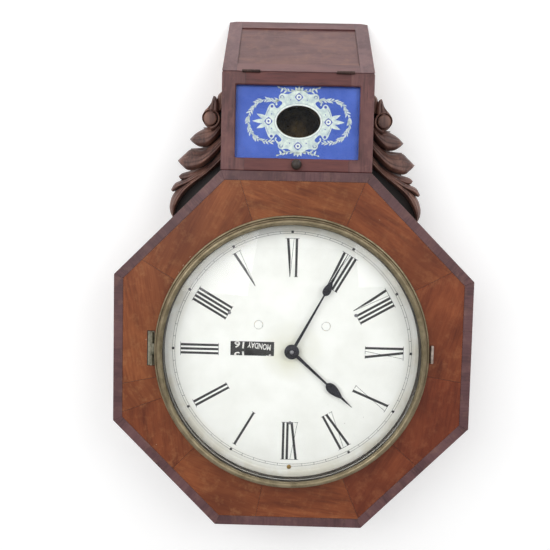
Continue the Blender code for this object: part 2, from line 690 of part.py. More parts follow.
def arbor(place, radius, y_span, pivot=0.0010, sides=10):
    """An arbor between the plates with a thinner pivot in each plate."""
    low, high = y_span
    back, front = -BACK_PLATE_Y[0], -FRONT_PLATE_Y[1]
    profile = [(0.0, front), (pivot, front), (pivot, high), (radius, high), (radius, low), (pivot, low),
               (pivot, back), (0.0, back)]
    return turned(profile, 0.0, *place, steps=sides, closed=False)


def make_time_train():
    inside = (0.0364, 0.0696)
    body = wheel(SECOND_PAIR, direction(SECOND, CENTRE), (-0.0665, -0.0680), SECOND)
    join(body, arbor(SECOND, 0.0020, inside),
         pinion(GREAT_PAIR, direction(SECOND, GREAT), (-0.0595, -0.0655), SECOND))
    keep(body, "second_wheel", "brass")

    body = wheel(CENTRE_PAIR, direction(CENTRE, THIRD), (-0.0480, -0.0495), CENTRE)
    shaft = turned([(0.0, 0.1005), (0.0010, 0.1005), (0.0010, 0.0972), (0.0022, 0.0972), (0.0022, 0.0741),
                    (0.0030, 0.0720), (0.0030, 0.0364), (0.0015, 0.0364), (0.0015, 0.0340), (0.0, 0.0340)],
                   0.0, steps=12, closed=False)
    join(body, shaft, pinion(SECOND_PAIR, direction(CENTRE, SECOND), (-0.0650, -0.0692), CENTRE),
         pinion(MINUTE_PAIR, direction(CENTRE, MINUTE), (-0.0725, -0.0741), CENTRE))
    keep(body, "centre_wheel", "brass")

    body = wheel(THIRD_PAIR, direction(THIRD, ESCAPE), (-0.0550, -0.0562), THIRD)
    join(body, arbor(THIRD, 0.0014, inside),
         pinion(CENTRE_PAIR, direction(THIRD, CENTRE), (-0.0465, -0.0510), THIRD))
    keep(body, "third_wheel", "brass")

    tip, root = 0.0165, 0.0145
    saw = []
    for k in range(ESCAPE_TEETH):
        for radius, shift in ((tip, 0.0), (root, 0.30)):
            saw += arc(0.0, 0.0, radius, *[360.0 * (k + shift) / ESCAPE_TEETH] * 2, 1)[:1]
    body = flat([saw], -0.0610, -0.0620, *ESCAPE)
    join(body, arbor(ESCAPE, 0.0012, inside),
         pinion(THIRD_PAIR, direction(ESCAPE, THIRD), (-0.0535, -0.0580), ESCAPE))
    keep(body, "escape_wheel", "brass")


def make_motion_work():
    body = wheel(MINUTE_PAIR, direction(MINUTE, CENTRE), (-0.0726, -0.0740), MINUTE, crossings=0)
    join(body, pinion(HOUR_PAIR, direction(MINUTE, CENTRE), (-0.0738, -0.0770), MINUTE),
         post(0.0010, (-0.0700, -0.0780), *MINUTE, 8))
    keep(body, "minute_wheel", "brass")

    body = wheel(HOUR_PAIR, direction(CENTRE, MINUTE), (-0.0747, -0.0761), CENTRE, bore=0.0030)
    pipe = turned(ring_profile(0.0027, 0.0034, 0.0750, 0.0955), 0.0, steps=16)
    keep(join(body, pipe), "hour_wheel", "brass")


def ribbon(inner, outer, turns, width, y_span, place, start, per_turn=14):
    """A spiral strip, as a mainspring lies let down."""
    count = int(turns * per_turn)
    loop = []
    for shift in (0.0, width):
        run = []
        for k in range(count + 1):
            radius = inner + (outer - inner) * k / count + shift
            angle = math.radians(start) + 2 * math.pi * k / per_turn
            run.append((radius * math.cos(angle), radius * math.sin(angle)))
        loop += run if shift == 0.0 else run[::-1]
    return flat([loop], *y_span, *place)


def make_power(place, word):
    """Winding arbor with its ratchet, mainspring and great wheel."""
    facing = direction(GREAT, SECOND) if place == GREAT else 0.0
    great = wheel(GREAT_PAIR, facing, (-0.0620, -0.0638), place, bore=0.0046)
    keep(great, word + "_great_wheel", "brass")
    shaft = turned([(0.0, 0.0728), (0.0033, 0.0728), (0.0033, 0.0696), (0.0043, 0.0696), (0.0043, 0.0364),
                    (0.0025, 0.0364), (0.0025, 0.0340), (0.0, 0.0340)], 0.0, *place, steps=16, closed=False)
    x, z = place
    square = box((x - 0.0022, x + 0.0022), (-0.0720, -0.0860), (z - 0.0022, z + 0.0022))
    ratchet = []
    for k in range(12):
        for radius, shift in ((0.0098, 0.0), (0.0080, 0.25)):
            angle = 2 * math.pi * (k + shift) / 12
            ratchet.append((radius * math.cos(angle), radius * math.sin(angle)))
    join(shaft, square, flat([ratchet], -0.0598, -0.0612, *place))
    keep(shaft, word + "_winding_arbor", "steel")
    spring = ribbon(0.0062, 0.0220, 3.4, 0.0008, (-0.0385, -0.0575), place, 40)
    keep(spring, word + "_mainspring", "steel")


def make_escapement():
    """Anchor, arbor, crutch wire and fork turn together about the pendulum's axis."""
    half = [(0.0060, 0.0005), (0.0118, -0.0055), (0.0120, -0.0090), (0.0102, -0.0092), (0.0090, -0.0058),
            (0.0025, -0.0029)]
    arms = [(0.0, 0.0032)] + [(-x, z) for x, z in half] + half[::-1]
    body = flat([arms], -0.0604, -0.0626, *VERGE)
    join(body, turned([(0.0, 0.0720), (0.0009, 0.0720), (0.0009, 0.0696), (0.0016, 0.0696),
                       (0.0016, 0.0266), (0.0, 0.0266)], 0.0, *VERGE, steps=10, closed=False),
         box((-0.0010, 0.0010), (-0.0272, -0.0288), (0.0120, PENDULUM_Z)),
         box((-0.0036, 0.0036), (-0.0252, -0.0284), (0.0110, 0.0140)),
         box((-0.0036, -0.0020), (-0.0190, -0.0262), (0.0112, 0.0138)),
         box((0.0020, 0.0036), (-0.0190, -0.0262), (0.0112, 0.0138)))
    keep(body, "verge", "steel")


def make_pendulum():
    y = PENDULUM_Y
    head = box((-0.0080, 0.0080), (-BACK_THICKNESS - GAP, -0.0262), (0.0660, 0.0780))
    cut(head, box((-0.0016, 0.0016), (y - 0.0035, y + 0.0038), (0.0640, 0.0800)))
    keep(head, "suspension_post", "brass")

    rod = bar(0.0011, (0.0, y, -0.3220), (0.0, y, 0.0520), 10)
    join(rod, box((-0.0022, 0.0022), (y - 0.0026, y + 0.0026), (0.0490, 0.0590)),
         box((-0.0003, 0.0003), (y - 0.0025, y + 0.0028), (0.0560, 0.0800)),
         box((-0.0026, 0.0026), (y - 0.0025, y + 0.0028), (0.0785, 0.0830)))
    keep(rod, "pendulum_rod", "steel")

    bulge = [(0.0, 0.0060), (0.0120, 0.0054), (0.0220, 0.0036), (0.0290, 0.0010), (BOB_RADIUS, 0.0)]
    profile = bulge + [(radius, -height) for radius, height in reversed(bulge[:-1])]
    bob = turned(profile, y, 0.0, BOB_Z, 32, closed=False)
    cut(bob, bar(0.0015, (0.0, y, BOB_Z - 0.04), (0.0, y, BOB_Z + 0.04), 10))
    keep(bob, "pendulum_bob", "brass")

    nut = bar(0.0050, (0.0, y, -0.3100), (0.0, y, -0.3065), 12)
    cut(nut, bar(0.0014, (0.0, y, -0.3200), (0.0, y, -0.3000), 10))
    keep(nut, "rating_nut", "brass")


def make_strike(hammer_stud):
    gong_z = -0.1250
    y = -0.0150
    stand = post(0.0068, (-BACK_THICKNESS - GAP, -0.0180), 0.0, gong_z, 14)
    keep(stand, "gong_stand", "iron")
    curve = bpy.data.curves.new("gong", "CURVE")
    curve.dimensions = "3D"
    curve.bevel_depth = 0.0013
    curve.bevel_resolution = 1
    curve.use_fill_caps = True
    spline = curve.splines.new("POLY")
    turns, per_turn = 3, 20
    spline.points.add(turns * per_turn)
    for k, point in enumerate(spline.points):
        radius = 0.0090 + (0.0450 - 0.0090) * k / (turns * per_turn)
        angle = 2 * math.pi * k / per_turn
        point.co = (-radius * math.cos(angle), 0.0, radius * math.sin(angle), 1.0)
    guide = bpy.data.objects.new("gong", curve)
    bpy.context.scene.collection.objects.link(guide)
    guide.location = (0.0, y, gong_z)
    keep(smooth(solid_from_curve(guide)), "gong", "steel")

    x, z = hammer_stud
    head_z = gong_z + 0.006
    tail_x = -0.0555
    boss = post(0.0030, (-0.0180, -0.0330), x, z, 12)
    cut(boss, post(0.0015, (0.0, -0.05), x, z, 10))
    wire = bar(0.0010, (x - 0.0022, -0.0205, z - 0.0018), (tail_x, -0.0160, head_z), 8)
    head = bar(0.0045, (tail_x - 0.0060, -0.0160, head_z), (-0.0475, -0.0160, head_z), 12)
    keep(join(boss, wire, head), "strike_hammer", "steel")


# ---------------------------------------------------------------- hands
def hand_outline(hub, stem, pear, pear_width, tip):
    """Outline of a hand that points up: a round hub, a slim stem, a pear and a needle."""
    low, high = pear
    stem_start, stem_end = stem
    join_angle = math.degrees(math.acos(stem_start / hub))
    right = [(stem_end, low)]
    for share, width in ((0.18, 0.55), (0.36, 0.92), (0.50, 1.0), (0.66, 0.86), (0.84, 0.42)):
        right.append((pear_width / 2 * width, low + (high - low) * share))
    right += [(0.0008, high), (0.0004, tip)]
    left = [(-x, z) for x, z in reversed(right)]
    return arc(0.0, 0.0, hub, 180 - join_angle, 360 + join_angle, 16) + right + left


def make_hands():
    hour = hand_outline(0.0085, (0.0020, 0.0011), (0.0600, 0.0840), 0.0110, 0.1000)
    minute = hand_outline(0.0090, (0.0018, 0.0009), (0.0800, 0.0950), 0.0088, 0.1360)
    for name, outline, bore, angle, y_span in (
            ("hour_hand", hour, 0.0037, HOUR_ANGLE, (-0.0940, -0.0950)),
            ("minute_hand", minute, 0.0013, MINUTE_ANGLE, (-0.0975, -0.0984))):
        hand = flat([outline, circle(0.0, 0.0, bore, 12)], *y_span)
        hand.rotation_euler = (math.pi / 2, math.radians(angle), 0.0)
        keep(hand, name, "black")
    nut = turned([(0.0, 0.1016), (0.0012, 0.1014), (0.0022, 0.1004), (0.0024, 0.0987), (0.0013, 0.0987),
                  (0.0013, 0.1008), (0.0, 0.1009)], 0.0, steps=12, closed=False)
    keep(nut, "hand_nut", "steel")


def main():
    for old in list(bpy.data.objects):
        bpy.data.objects.remove(old)
    bpy.context.scene.collection.children.link(PARTS)
    bpy.context.scene.collection.children.link(CUTTERS)
    make_case()
    make_foot()
    make_dial()
    make_bezel()
    make_door()
    stud = make_plates()
    make_time_train()
    make_motion_work()
    make_power(GREAT, "time")
    make_power(STRIKE, "strike")
    make_escapement()
    make_pendulum()
    make_strike(stud)
    make_hands()


main()
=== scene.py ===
"""Looks of the drop-octagon wall clock: veneers, carving, printing, metals, glass, camera and light.

Metres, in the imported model's frame: +Z up, the clock faces -Y, the dial's axis is the origin.
"""
import math
import random

import bmesh
import bpy
from mathutils import Matrix, Vector


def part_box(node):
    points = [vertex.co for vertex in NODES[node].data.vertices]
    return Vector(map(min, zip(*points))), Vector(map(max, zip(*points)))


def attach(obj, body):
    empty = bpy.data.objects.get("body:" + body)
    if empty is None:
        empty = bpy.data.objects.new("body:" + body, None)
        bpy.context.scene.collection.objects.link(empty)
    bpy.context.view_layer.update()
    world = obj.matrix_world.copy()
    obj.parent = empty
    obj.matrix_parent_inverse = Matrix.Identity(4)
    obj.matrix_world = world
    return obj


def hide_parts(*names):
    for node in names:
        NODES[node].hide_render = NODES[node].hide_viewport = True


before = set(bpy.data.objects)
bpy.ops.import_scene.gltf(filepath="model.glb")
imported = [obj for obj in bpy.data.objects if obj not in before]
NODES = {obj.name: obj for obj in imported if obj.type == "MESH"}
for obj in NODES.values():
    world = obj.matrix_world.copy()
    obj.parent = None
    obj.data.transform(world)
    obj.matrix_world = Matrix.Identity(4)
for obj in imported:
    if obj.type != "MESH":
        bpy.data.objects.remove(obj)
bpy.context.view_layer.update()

# ---------------------------------------------------------------- driving dimensions, from the frame
OCTAGON_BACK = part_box("octagon_front")[1].y
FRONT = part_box("octagon_front")[0].y
HALF_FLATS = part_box("octagon_front")[1].x
DIAL_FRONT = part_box("dial_plate")[0].y
DIAL_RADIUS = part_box("dial_plate")[1].x
BEZEL_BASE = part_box("bezel_ring")[1].y
BEZEL_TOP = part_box("bezel_ring")[0].y
WINDOW_X = (0.0215, 0.0747)
WINDOW_Z = (-0.0104, 0.0071)
WINDING = (0.041, -0.031)
HOLE_RADIUS = 0.136
REBATE_RADIUS = 0.1581
REBATE_Y = -0.0890
BAND_WIDTH = 0.0112
VENEER = 0.0008
PRINT = 0.00006
MINUTE_ANGLE = 208.3
HOUR_ANGLE = 311.9


# ---------------------------------------------------------------- colour and node helpers
def tone(red, green, blue):
    """A colour given as screen values from 0 to 255, made linear."""
    def linear(value):
        share = value / 255
        return share / 12.92 if share <= 0.04045 else ((share + 0.055) / 1.055) ** 2.4
    return (linear(red), linear(green), linear(blue), 1.0)


class Look:
    """A material's node tree with short calls for the nodes used here."""

    def __init__(self, name, **shader_values):
        self.material = bpy.data.materials.new(name)
        self.material.use_nodes = True
        self.tree = self.material.node_tree
        self.shader = self.tree.nodes["Principled BSDF"]
        self.output = self.tree.nodes["Material Output"]
        for socket, value in shader_values.items():
            self.shader.inputs[socket.replace("_", " ")].default_value = value

    def add(self, kind, **settings):
        node = self.tree.nodes.new("ShaderNode" + kind)
        for key, value in settings.items():
            setattr(node, key, value)
        return node

    def link(self, source, target):
        self.tree.links.new(source, target)

    def fill(self, socket, value):
        if isinstance(value, bpy.types.NodeSocket):
            self.link(value, socket)
        else:
            socket.default_value = value

    def place(self):
        """Where a point is on its piece."""
        return self.add("TexCoord").outputs["Object"]

    def attribute(self, name, part="Vector"):
        return self.add("Attribute", attribute_name=name).outputs[part]

    def stretched(self, vector, scale, turn=(0.0, 0.0, 0.0)):
        node = self.add("Mapping")
        self.link(vector, node.inputs["Vector"])
        node.inputs["Scale"].default_value = scale
        node.inputs["Rotation"].default_value = [math.radians(a) for a in turn]
        return node.outputs["Vector"]

    def noise(self, vector, scale, detail=4.0, roughness=0.55, distortion=0.0):
        node = self.add("TexNoise")
        self.link(vector, node.inputs["Vector"])
        node.inputs["Scale"].default_value = scale
        node.inputs["Detail"].default_value = detail
        node.inputs["Roughness"].default_value = roughness
        node.inputs["Distortion"].default_value = distortion
        return node.outputs["Fac"]

    def ramp(self, factor, *stops):
        node = self.add("ValToRGB")
        self.link(factor, node.inputs["Fac"])
        elements = node.color_ramp.elements
        while len(elements) < len(stops):
            elements.new(0.5)
        for element, (position, colour) in zip(elements, stops):
            element.position = position
            element.color = colour if isinstance(colour, tuple) else (colour, colour, colour, 1.0)
        return node.outputs["Color"]

    def mix(self, factor, first, second, blend="MIX"):
        node = self.add("Mix", data_type="RGBA", blend_type=blend)
        for socket, value in ((node.inputs[0], factor), (node.inputs[6], first), (node.inputs[7], second)):
            self.fill(socket, value)
        return node.outputs[2]

    def maths(self, operation, first, second=0.0, clamp=False):
        node = self.add("Math", operation=operation, use_clamp=clamp)
        self.fill(node.inputs[0], first)
        self.fill(node.inputs[1], second)
        return node.outputs[0]

    def between(self, value, low, high):
        """0 below low, 1 above high, and a straight run between."""
        node = self.add("MapRange")
        self.fill(node.inputs["Value"], value)
        node.inputs["From Min"].default_value = low
        node.inputs["From Max"].default_value = high
        return node.outputs[0]

    def bump(self, height, strength, distance):
        node = self.add("Bump")
        node.inputs["Strength"].default_value = strength
        node.inputs["Distance"].default_value = distance
        self.link(height, node.inputs["Height"])
        self.link(node.outputs["Normal"], self.shader.inputs["Normal"])

    def colour(self, value):
        self.fill(self.shader.inputs["Base Color"], value)

    def rough(self, factor, low, high):
        node = self.add("MapRange")
        self.link(factor, node.inputs["Value"])
        node.inputs["To Min"].default_value = low
        node.inputs["To Max"].default_value = high
        self.link(node.outputs[0], self.shader.inputs["Roughness"])

    def clear_where(self, factor):
        """Lets everything through where the factor is 1."""
        both = self.add("MixShader")
        self.link(factor, both.inputs[0])
        self.link(self.shader.outputs[0], both.inputs[1])
        self.link(self.add("BsdfTransparent").outputs[0], both.inputs[2])
        self.link(both.outputs[0], self.output.inputs["Surface"])


# ---------------------------------------------------------------- materials
def wood(name, dark, middle, light, grain="Z", roughness=(0.34, 0.52), coat=0.20, attribute=None,
         wear=None, pores=0.5, gloss=0.40):
    """Polished wood: long fibres, broad figure, short pores and worn arrises."""
    look = Look(name, Coat_Weight=coat, Coat_Roughness=0.32, Specular_IOR_Level=gloss)
    place = look.attribute(attribute) if attribute else look.place()
    stretch = {"X": (0.09, 1.0, 1.0), "Y": (1.0, 0.09, 1.0), "Z": (1.0, 1.0, 0.09)}[grain]
    fibres = look.noise(look.stretched(place, stretch), 420.0, 7.0, 0.62, 0.35)
    figure = look.noise(look.stretched(place, tuple(0.22 + 0.78 * s for s in stretch)), 34.0, 3.0, 0.5, 1.4)
    cloud = look.noise(place, 13.0, 2.0, 0.5)
    mixed = look.maths("ADD", look.maths("MULTIPLY", fibres, 0.42), look.maths("MULTIPLY", figure, 0.58))
    base = look.ramp(mixed, (0.36, dark), (0.50, middle), (0.66, light))
    base = look.mix(look.maths("MULTIPLY", look.between(cloud, 0.42, 0.70), 0.6), base, dark)
    short = tuple(0.35 * s if s < 1 else s for s in stretch)
    fine = look.noise(look.stretched(place, short), 1500.0, 2.0, 0.6)
    pore = look.between(fine, 0.66, 0.74)
    base = look.mix(look.maths("MULTIPLY", pore, pores), base, tuple(c * 0.35 for c in dark[:3]) + (1.0,))
    edge = look.between(look.add("NewGeometry").outputs["Pointiness"], 0.515, 0.56)
    scuffs = look.between(look.noise(place, 95.0, 5.0, 0.7), 0.50, 0.68)
    worn = look.maths("MULTIPLY", look.maths("MULTIPLY", edge, scuffs), 0.65)
    base = look.mix(worn, base, wear or light)
    look.colour(base)
    look.rough(look.noise(place, 60.0, 4.0, 0.6), *roughness)
    look.bump(look.maths("SUBTRACT", fibres, look.maths("MULTIPLY", pore, 0.8)), 0.22, 0.00035)
    return look


def framed(name, half_width, dark, middle, light, rail_tint):
    """Framed wood: upright grain in the stiles, level grain in the rails and a fine line at each joint."""
    look = wood(name, dark, middle, light, "Z", wear=light, pores=0.3)
    stile = look.shader.inputs["Base Color"].links[0].from_socket
    place = look.place()
    fibres = look.noise(look.stretched(place, (0.09, 1.0, 1.0)), 420.0, 7.0, 0.62, 0.35)
    figure = look.noise(look.stretched(place, (0.25, 1.0, 1.0)), 34.0, 3.0, 0.5, 1.2)
    mixed = look.maths("ADD", look.maths("MULTIPLY", fibres, 0.42), look.maths("MULTIPLY", figure, 0.58))
    rail = look.mix(1.0, look.ramp(mixed, (0.36, dark), (0.50, middle), (0.66, light)), rail_tint, "MULTIPLY")
    apart = look.add("SeparateXYZ")
    look.link(place, apart.inputs[0])
    beyond = look.maths("SUBTRACT", look.maths("ABSOLUTE", apart.outputs["X"]), half_width)
    base = look.mix(look.maths("GREATER_THAN", beyond, 0.0), rail, stile)
    joint = look.maths("LESS_THAN", look.maths("ABSOLUTE", beyond), 0.00018)
    look.colour(look.mix(look.maths("MULTIPLY", joint, 0.7), base, tone(30, 16, 14)))
    return look.material


def veneer():
    """Flame veneer of the octagon, each leaf with its own tone: partly the veneer's own and partly painted
    shade that makes the leaves on the side away from the key light darker and redder.
    """
    look = wood("veneer", tone(102, 50, 24), tone(131, 71, 37), tone(152, 90, 50), "X", (0.26, 0.42), 0.18,
                attribute="grain", wear=tone(168, 118, 74), pores=0.35, gloss=0.25)
    base = look.shader.inputs["Base Color"].links[0].from_socket
    # The darker, redder mix is partly the leaves' own tone and partly painted shade.
    shift = look.attribute("tone", "Fac")
    redder_tone_and_shade = look.mix(1.0, base, tone(222, 184, 190), "MULTIPLY")
    base = look.mix(shift, base, redder_tone_and_shade)
    look.colour(base)
    return look.material


def crossband():
    look = wood("crossband", tone(68, 40, 43), tone(92, 59, 61), tone(106, 72, 73), "X", (0.30, 0.46), 0.25,
                attribute="grain", wear=tone(150, 112, 92), pores=0.3)
    return look.material


def carved():
    """Ear wood: brown on the crests, with painted shade that makes it nearly black in the hollows."""
    look = wood("carved_wood", tone(62, 40, 37), tone(112, 78, 68), tone(140, 102, 86), "Z",
                (0.40, 0.60), 0.12, wear=tone(160, 120, 98))
    base = look.shader.inputs["Base Color"].links[0].from_socket
    # Painted shade: the hollows of the carving are darkened nearly to black.
    hollow = look.between(look.add("NewGeometry").outputs["Pointiness"], 0.500, 0.440)
    look.colour(look.mix(hollow, base, tone(30, 18, 16)))
    return look.material


def pine(name="old_pine"):
    look = wood(name, tone(104, 72, 44), tone(152, 112, 72), tone(180, 142, 98), "Z", (0.62, 0.82), 0.0,
                wear=tone(196, 164, 122), pores=0.2)
    return look.material


def dial_paint():
    """Old white enamel paint: yellowed round the centre, with specks and rubbed patches."""
    look = Look("dial_paint", Coat_Weight=0.10, Coat_Roughness=0.3)
    place = look.place()
    apart = look.add("SeparateXYZ")
    look.link(place, apart.inputs[0])
    across = look.maths("MULTIPLY", apart.outputs["X"], apart.outputs["X"])
    along = look.maths("MULTIPLY", apart.outputs["Z"], apart.outputs["Z"])
    radius = look.maths("SQRT", look.maths("ADD", across, along))
    cloud = look.noise(place, 26.0, 5.0, 0.6)
    base = look.ramp(cloud, (0.35, tone(238, 240, 234)), (0.65, tone(246, 248, 243)))
    stain = look.maths("MULTIPLY", look.between(radius, 0.040, 0.006), look.between(cloud, 0.25, 0.62))
    base = look.mix(stain, base, tone(214, 214, 190))
    rim = look.maths("MULTIPLY", look.between(radius, 0.136, 0.150), look.between(cloud, 0.40, 0.60))
    base = look.mix(look.maths("MULTIPLY", rim, 0.7), base, tone(214, 210, 190))
    specks = look.between(look.noise(place, 230.0, 2.0, 0.6), 0.775, 0.80)
    spread = look.between(look.noise(place, 21.0, 1.0), 0.50, 0.60)
    base = look.mix(look.maths("MULTIPLY", specks, spread), base, tone(96, 88, 72))
    look.colour(base)
    look.rough(cloud, 0.38, 0.55)
    look.bump(look.noise(place, 60.0, 3.0), 0.08, 0.0004)
    return look.material


def paint(name, deep, bright, roughness=(0.35, 0.55), scale=140.0, coat=0.0):
    look = Look(name, Coat_Weight=coat, Coat_Roughness=0.2)
    place = look.place()
    cloud = look.noise(place, scale, 4.0, 0.6)
    look.colour(look.ramp(cloud, (0.35, deep), (0.65, bright)))
    look.rough(look.noise(place, scale * 0.4, 3.0), *roughness)
    look.bump(cloud, 0.10, 0.0002)
    return look.material


def metal(name, dull, bright, roughness=(0.28, 0.48), metallic=1.0, scale=90.0, tarnish=0.6, bump=0.10):
    """Worked metal with tarnish in patches and fine tool marks."""
    look = Look(name, Metallic=metallic)
    place = look.place()
    cloud = look.noise(place, scale, 6.0, 0.65, 0.3)
    marks = look.noise(look.stretched(place, (1.0, 1.0, 6.0)), 900.0, 2.0, 0.5)
    base = look.ramp(cloud, (0.38, dull), (0.62, bright))
    hollow = look.between(look.add("NewGeometry").outputs["Pointiness"], 0.50, 0.45)
    dark = tuple(c * 0.4 for c in dull[:3]) + (1.0,)
    look.colour(look.mix(look.maths("MULTIPLY", hollow, tarnish), base, dark))
    look.rough(cloud, roughness[1], roughness[0])
    look.bump(marks, bump, 0.0002)
    return look.material


def clear_glass(name, bend):
    """Thin glass that lets lamps through to what it covers."""
    look = Look(name, Transmission_Weight=1.0, IOR=bend, Roughness=0.02)
    look.colour((1.0, 1.0, 1.0, 1.0))
    look.clear_where(look.add("LightPath").outputs["Is Shadow Ray"])
    return look.material


# ---------------------------------------------------------------- mesh helpers
def smooth(mesh, degrees=32.0):
    for polygon in mesh.polygons:
        polygon.use_smooth = True
    mesh.set_sharp_from_angle(angle=math.radians(degrees))
    return mesh


def from_bmesh(bm, name="piece"):
    bmesh.ops.recalc_face_normals(bm, faces=bm.faces)
    mesh = bpy.data.meshes.new(name)
    bm.to_mesh(mesh)
    bm.free()
    return mesh


def mesh_of(curve):
    """A curve or a text made into a mesh; the curve itself goes."""
    holder = bpy.data.objects.new(curve.name, curve)
    bpy.context.scene.collection.objects.link(holder)
    mesh = bpy.data.meshes.new_from_object(holder.evaluated_get(bpy.context.evaluated_depsgraph_get()))
    bpy.data.objects.remove(holder)
    bpy.data.curves.remove(curve)
    return mesh


def welded(mesh, distance):
    """A mesh opened for editing, with the points that coincide merged."""
    bm = bmesh.new()
    bm.from_mesh(mesh)
    bpy.data.meshes.remove(mesh)
    bmesh.ops.remove_doubles(bm, verts=bm.verts, dist=distance)
    return bm


def skin(bm, pairs):
    """Faces between neighbouring closed rows of points."""
    for low, high in pairs:
        for k in range(len(low)):
            after = (k + 1) % len(low)
            bm.faces.new((low[k], low[after], high[after], high[k]))


def joined(meshes):
    """Several meshes as one."""
    bm = bmesh.new()
    for mesh in meshes:
        bm.from_mesh(mesh)
        bpy.data.meshes.remove(mesh)
    made = bpy.data.meshes.new("joined")
    bm.to_mesh(made)
    bm.free()
    return made


def piece(name, mesh, look, body, slot, *nodes, degrees=32.0):
    """A shown piece that rides a body and stands for the CAD nodes given."""
    smooth(mesh, degrees)
    mesh.name = name
    mesh.materials.clear()
    mesh.materials.append(look)
    made = bpy.data.objects.new(name, mesh)
    bpy.context.scene.collection.objects.link(made)
    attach(made, body)
    if nodes:
        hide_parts(*nodes)
    even = made.modifiers.new("even_normals", "WEIGHTED_NORMAL")
    even.keep_sharp = True
    return made


def on_circle(radius, degrees, x=0.0, z=0.0):
    return (x + radius * math.cos(math.radians(degrees)), z + radius * math.sin(math.radians(degrees)))


def circle(radius, x=0.0, z=0.0, count=48):
    return [on_circle(radius, 360.0 * k / count, x, z) for k in range(count)]


def rectangle(x_low, x_high, z_low, z_high):
    return [(x_low, z_low), (x_high, z_low), (x_high, z_high), (x_low, z_high)]


def slab(loops, back, front, bevel=0.0, bevel_steps=2):
    """Outlines filled between two depths, with eased edges; loops inside the first are holes."""
    curve = bpy.data.curves.new("slab", "CURVE")
    curve.dimensions = "2D"
    curve.fill_mode = "BOTH"
    curve.bevel_depth = bevel
    curve.bevel_resolution = bevel_steps
    curve.offset = -bevel
    curve.extrude = abs(front - back) / 2 - bevel
    for loop in loops:
        spline = curve.splines.new("POLY")
        spline.points.add(len(loop) - 1)
        for point, (x, z) in zip(spline.points, loop):
            point.co = (x, z, 0.0, 1.0)
        spline.use_cyclic_u = True
    mesh = mesh_of(curve)
    turn = Matrix.Translation((0.0, (back + front) / 2, 0.0)) @ Matrix.Rotation(math.pi / 2, 4, "X")
    mesh.transform(turn)
    return from_bmesh(welded(mesh, 1e-6))


def prisms(outlines, back, front):
    """Many small flat shapes as thin closed prisms."""
    bm = bmesh.new()
    for outline in outlines:
        near = [bm.verts.new((x, front, z)) for x, z in outline]
        far = [bm.verts.new((x, back, z)) for x, z in outline]
        bm.faces.new(near)
        bm.faces.new(list(reversed(far)))
        count = len(outline)
        for k in range(count):
            after = (k + 1) % count
            bm.faces.new((near[after], near[k], far[k], far[after]))
    return from_bmesh(bm)


def lathe(profile, x=0.0, z=0.0, steps=96, closed=True, start=0.0):
    """A profile of (radius, depth) pairs turned round an axis along the depth."""
    bm = bmesh.new()
    rings = []
    for radius, depth in profile:
        if radius < 1e-7:
            rings.append([bm.verts.new((x, depth, z))] * steps)
            continue
        ring = []
        for k in range(steps):
            px, pz = on_circle(radius, start + 360.0 * k / steps, x, z)
            ring.append(bm.verts.new((px, depth, pz)))
        rings.append(ring)
    pairs = list(zip(rings, rings[1:]))
    if closed:
        pairs.append((rings[-1], rings[0]))
    for low, high in pairs:
        for k in range(steps):
            after = (k + 1) % steps
            corners = []
            for vert in (low[k], low[after], high[after], high[k]):
                if vert not in corners:
                    corners.append(vert)
            if len(corners) > 2:
                bm.faces.new(corners)
    return from_bmesh(bm)


def octagon_reach(half_flats, degrees):
    """Distance from the centre to the side of an octagon with level sides."""
    off = (degrees + 22.5) % 45.0 - 22.5
    return half_flats / math.cos(math.radians(off))


def octagon_ring(sections, steps=128):
    """A closed ring through sections of (octagon half flats or None, circle radius or None, depth)."""
    bm = bmesh.new()
    rings = []
    for flats, radius, depth in sections:
        ring = []
        for k in range(steps):
            degrees = 360.0 * k / steps
            reach = octagon_reach(flats, degrees) if flats else radius
            px, pz = on_circle(reach, degrees)
            ring.append(bm.verts.new((px, depth, pz)))
        rings.append(ring)
    skin(bm, zip(rings, rings[1:] + rings[:1]))
    return from_bmesh(bm)


def through(points, count):
    """A smooth run of count + 1 points through the given ones."""
    path = [Vector(p) for p in points]
    path = [path[0] * 2 - path[1]] + path + [path[-1] * 2 - path[-2]]
    spans = len(path) - 3
    run = []
    for k in range(count + 1):
        at = min(k / count * spans, spans - 1e-9)
        i = int(at)
        t = at - i
        a, b, c, d = path[i:i + 4]
        run.append(0.5 * (2 * b + (c - a) * t + (2 * a - 5 * b + 4 * c - d) * t * t
                          + (3 * b - a - 3 * c + d) * t ** 3))
    return run


# ---------------------------------------------------------------- octagon
JOINTS = (12.0, 21.0, 46.0, 79.0, 113.0, 138.5, 171.0, 208.0, 248.0, 288.0, 329.5)


def grain_fields(mesh, direction, shade):
    """Writes where each corner lies along and across the fibres, and the leaf's tone, which holds painted
    shade as well as the leaf's own colour.
    """
    along = Vector((math.cos(math.radians(direction)), 0.0, math.sin(math.radians(direction))))
    across = Vector((-along.z, 0.0, along.x))
    field = mesh.attributes.new("grain", "FLOAT_VECTOR", "POINT")
    for point, vertex in zip(field.data, mesh.vertices):
        place = vertex.co
        point.vector = (place.dot(along), place.y, place.dot(across) + direction * 0.01)
    field = mesh.attributes.new("tone", "FLOAT", "POINT")
    for point in field.data:
        point.value = shade
    return mesh


def octagon_corners(half_flats, first, last):
    """Corners of the octagon passed between two angles."""
    corners = []
    for k in range(-1, 17):
        degrees = 22.5 + 45.0 * k
        if first < degrees < last:
            corners.append(on_circle(octagon_reach(half_flats, degrees), degrees))
    return corners


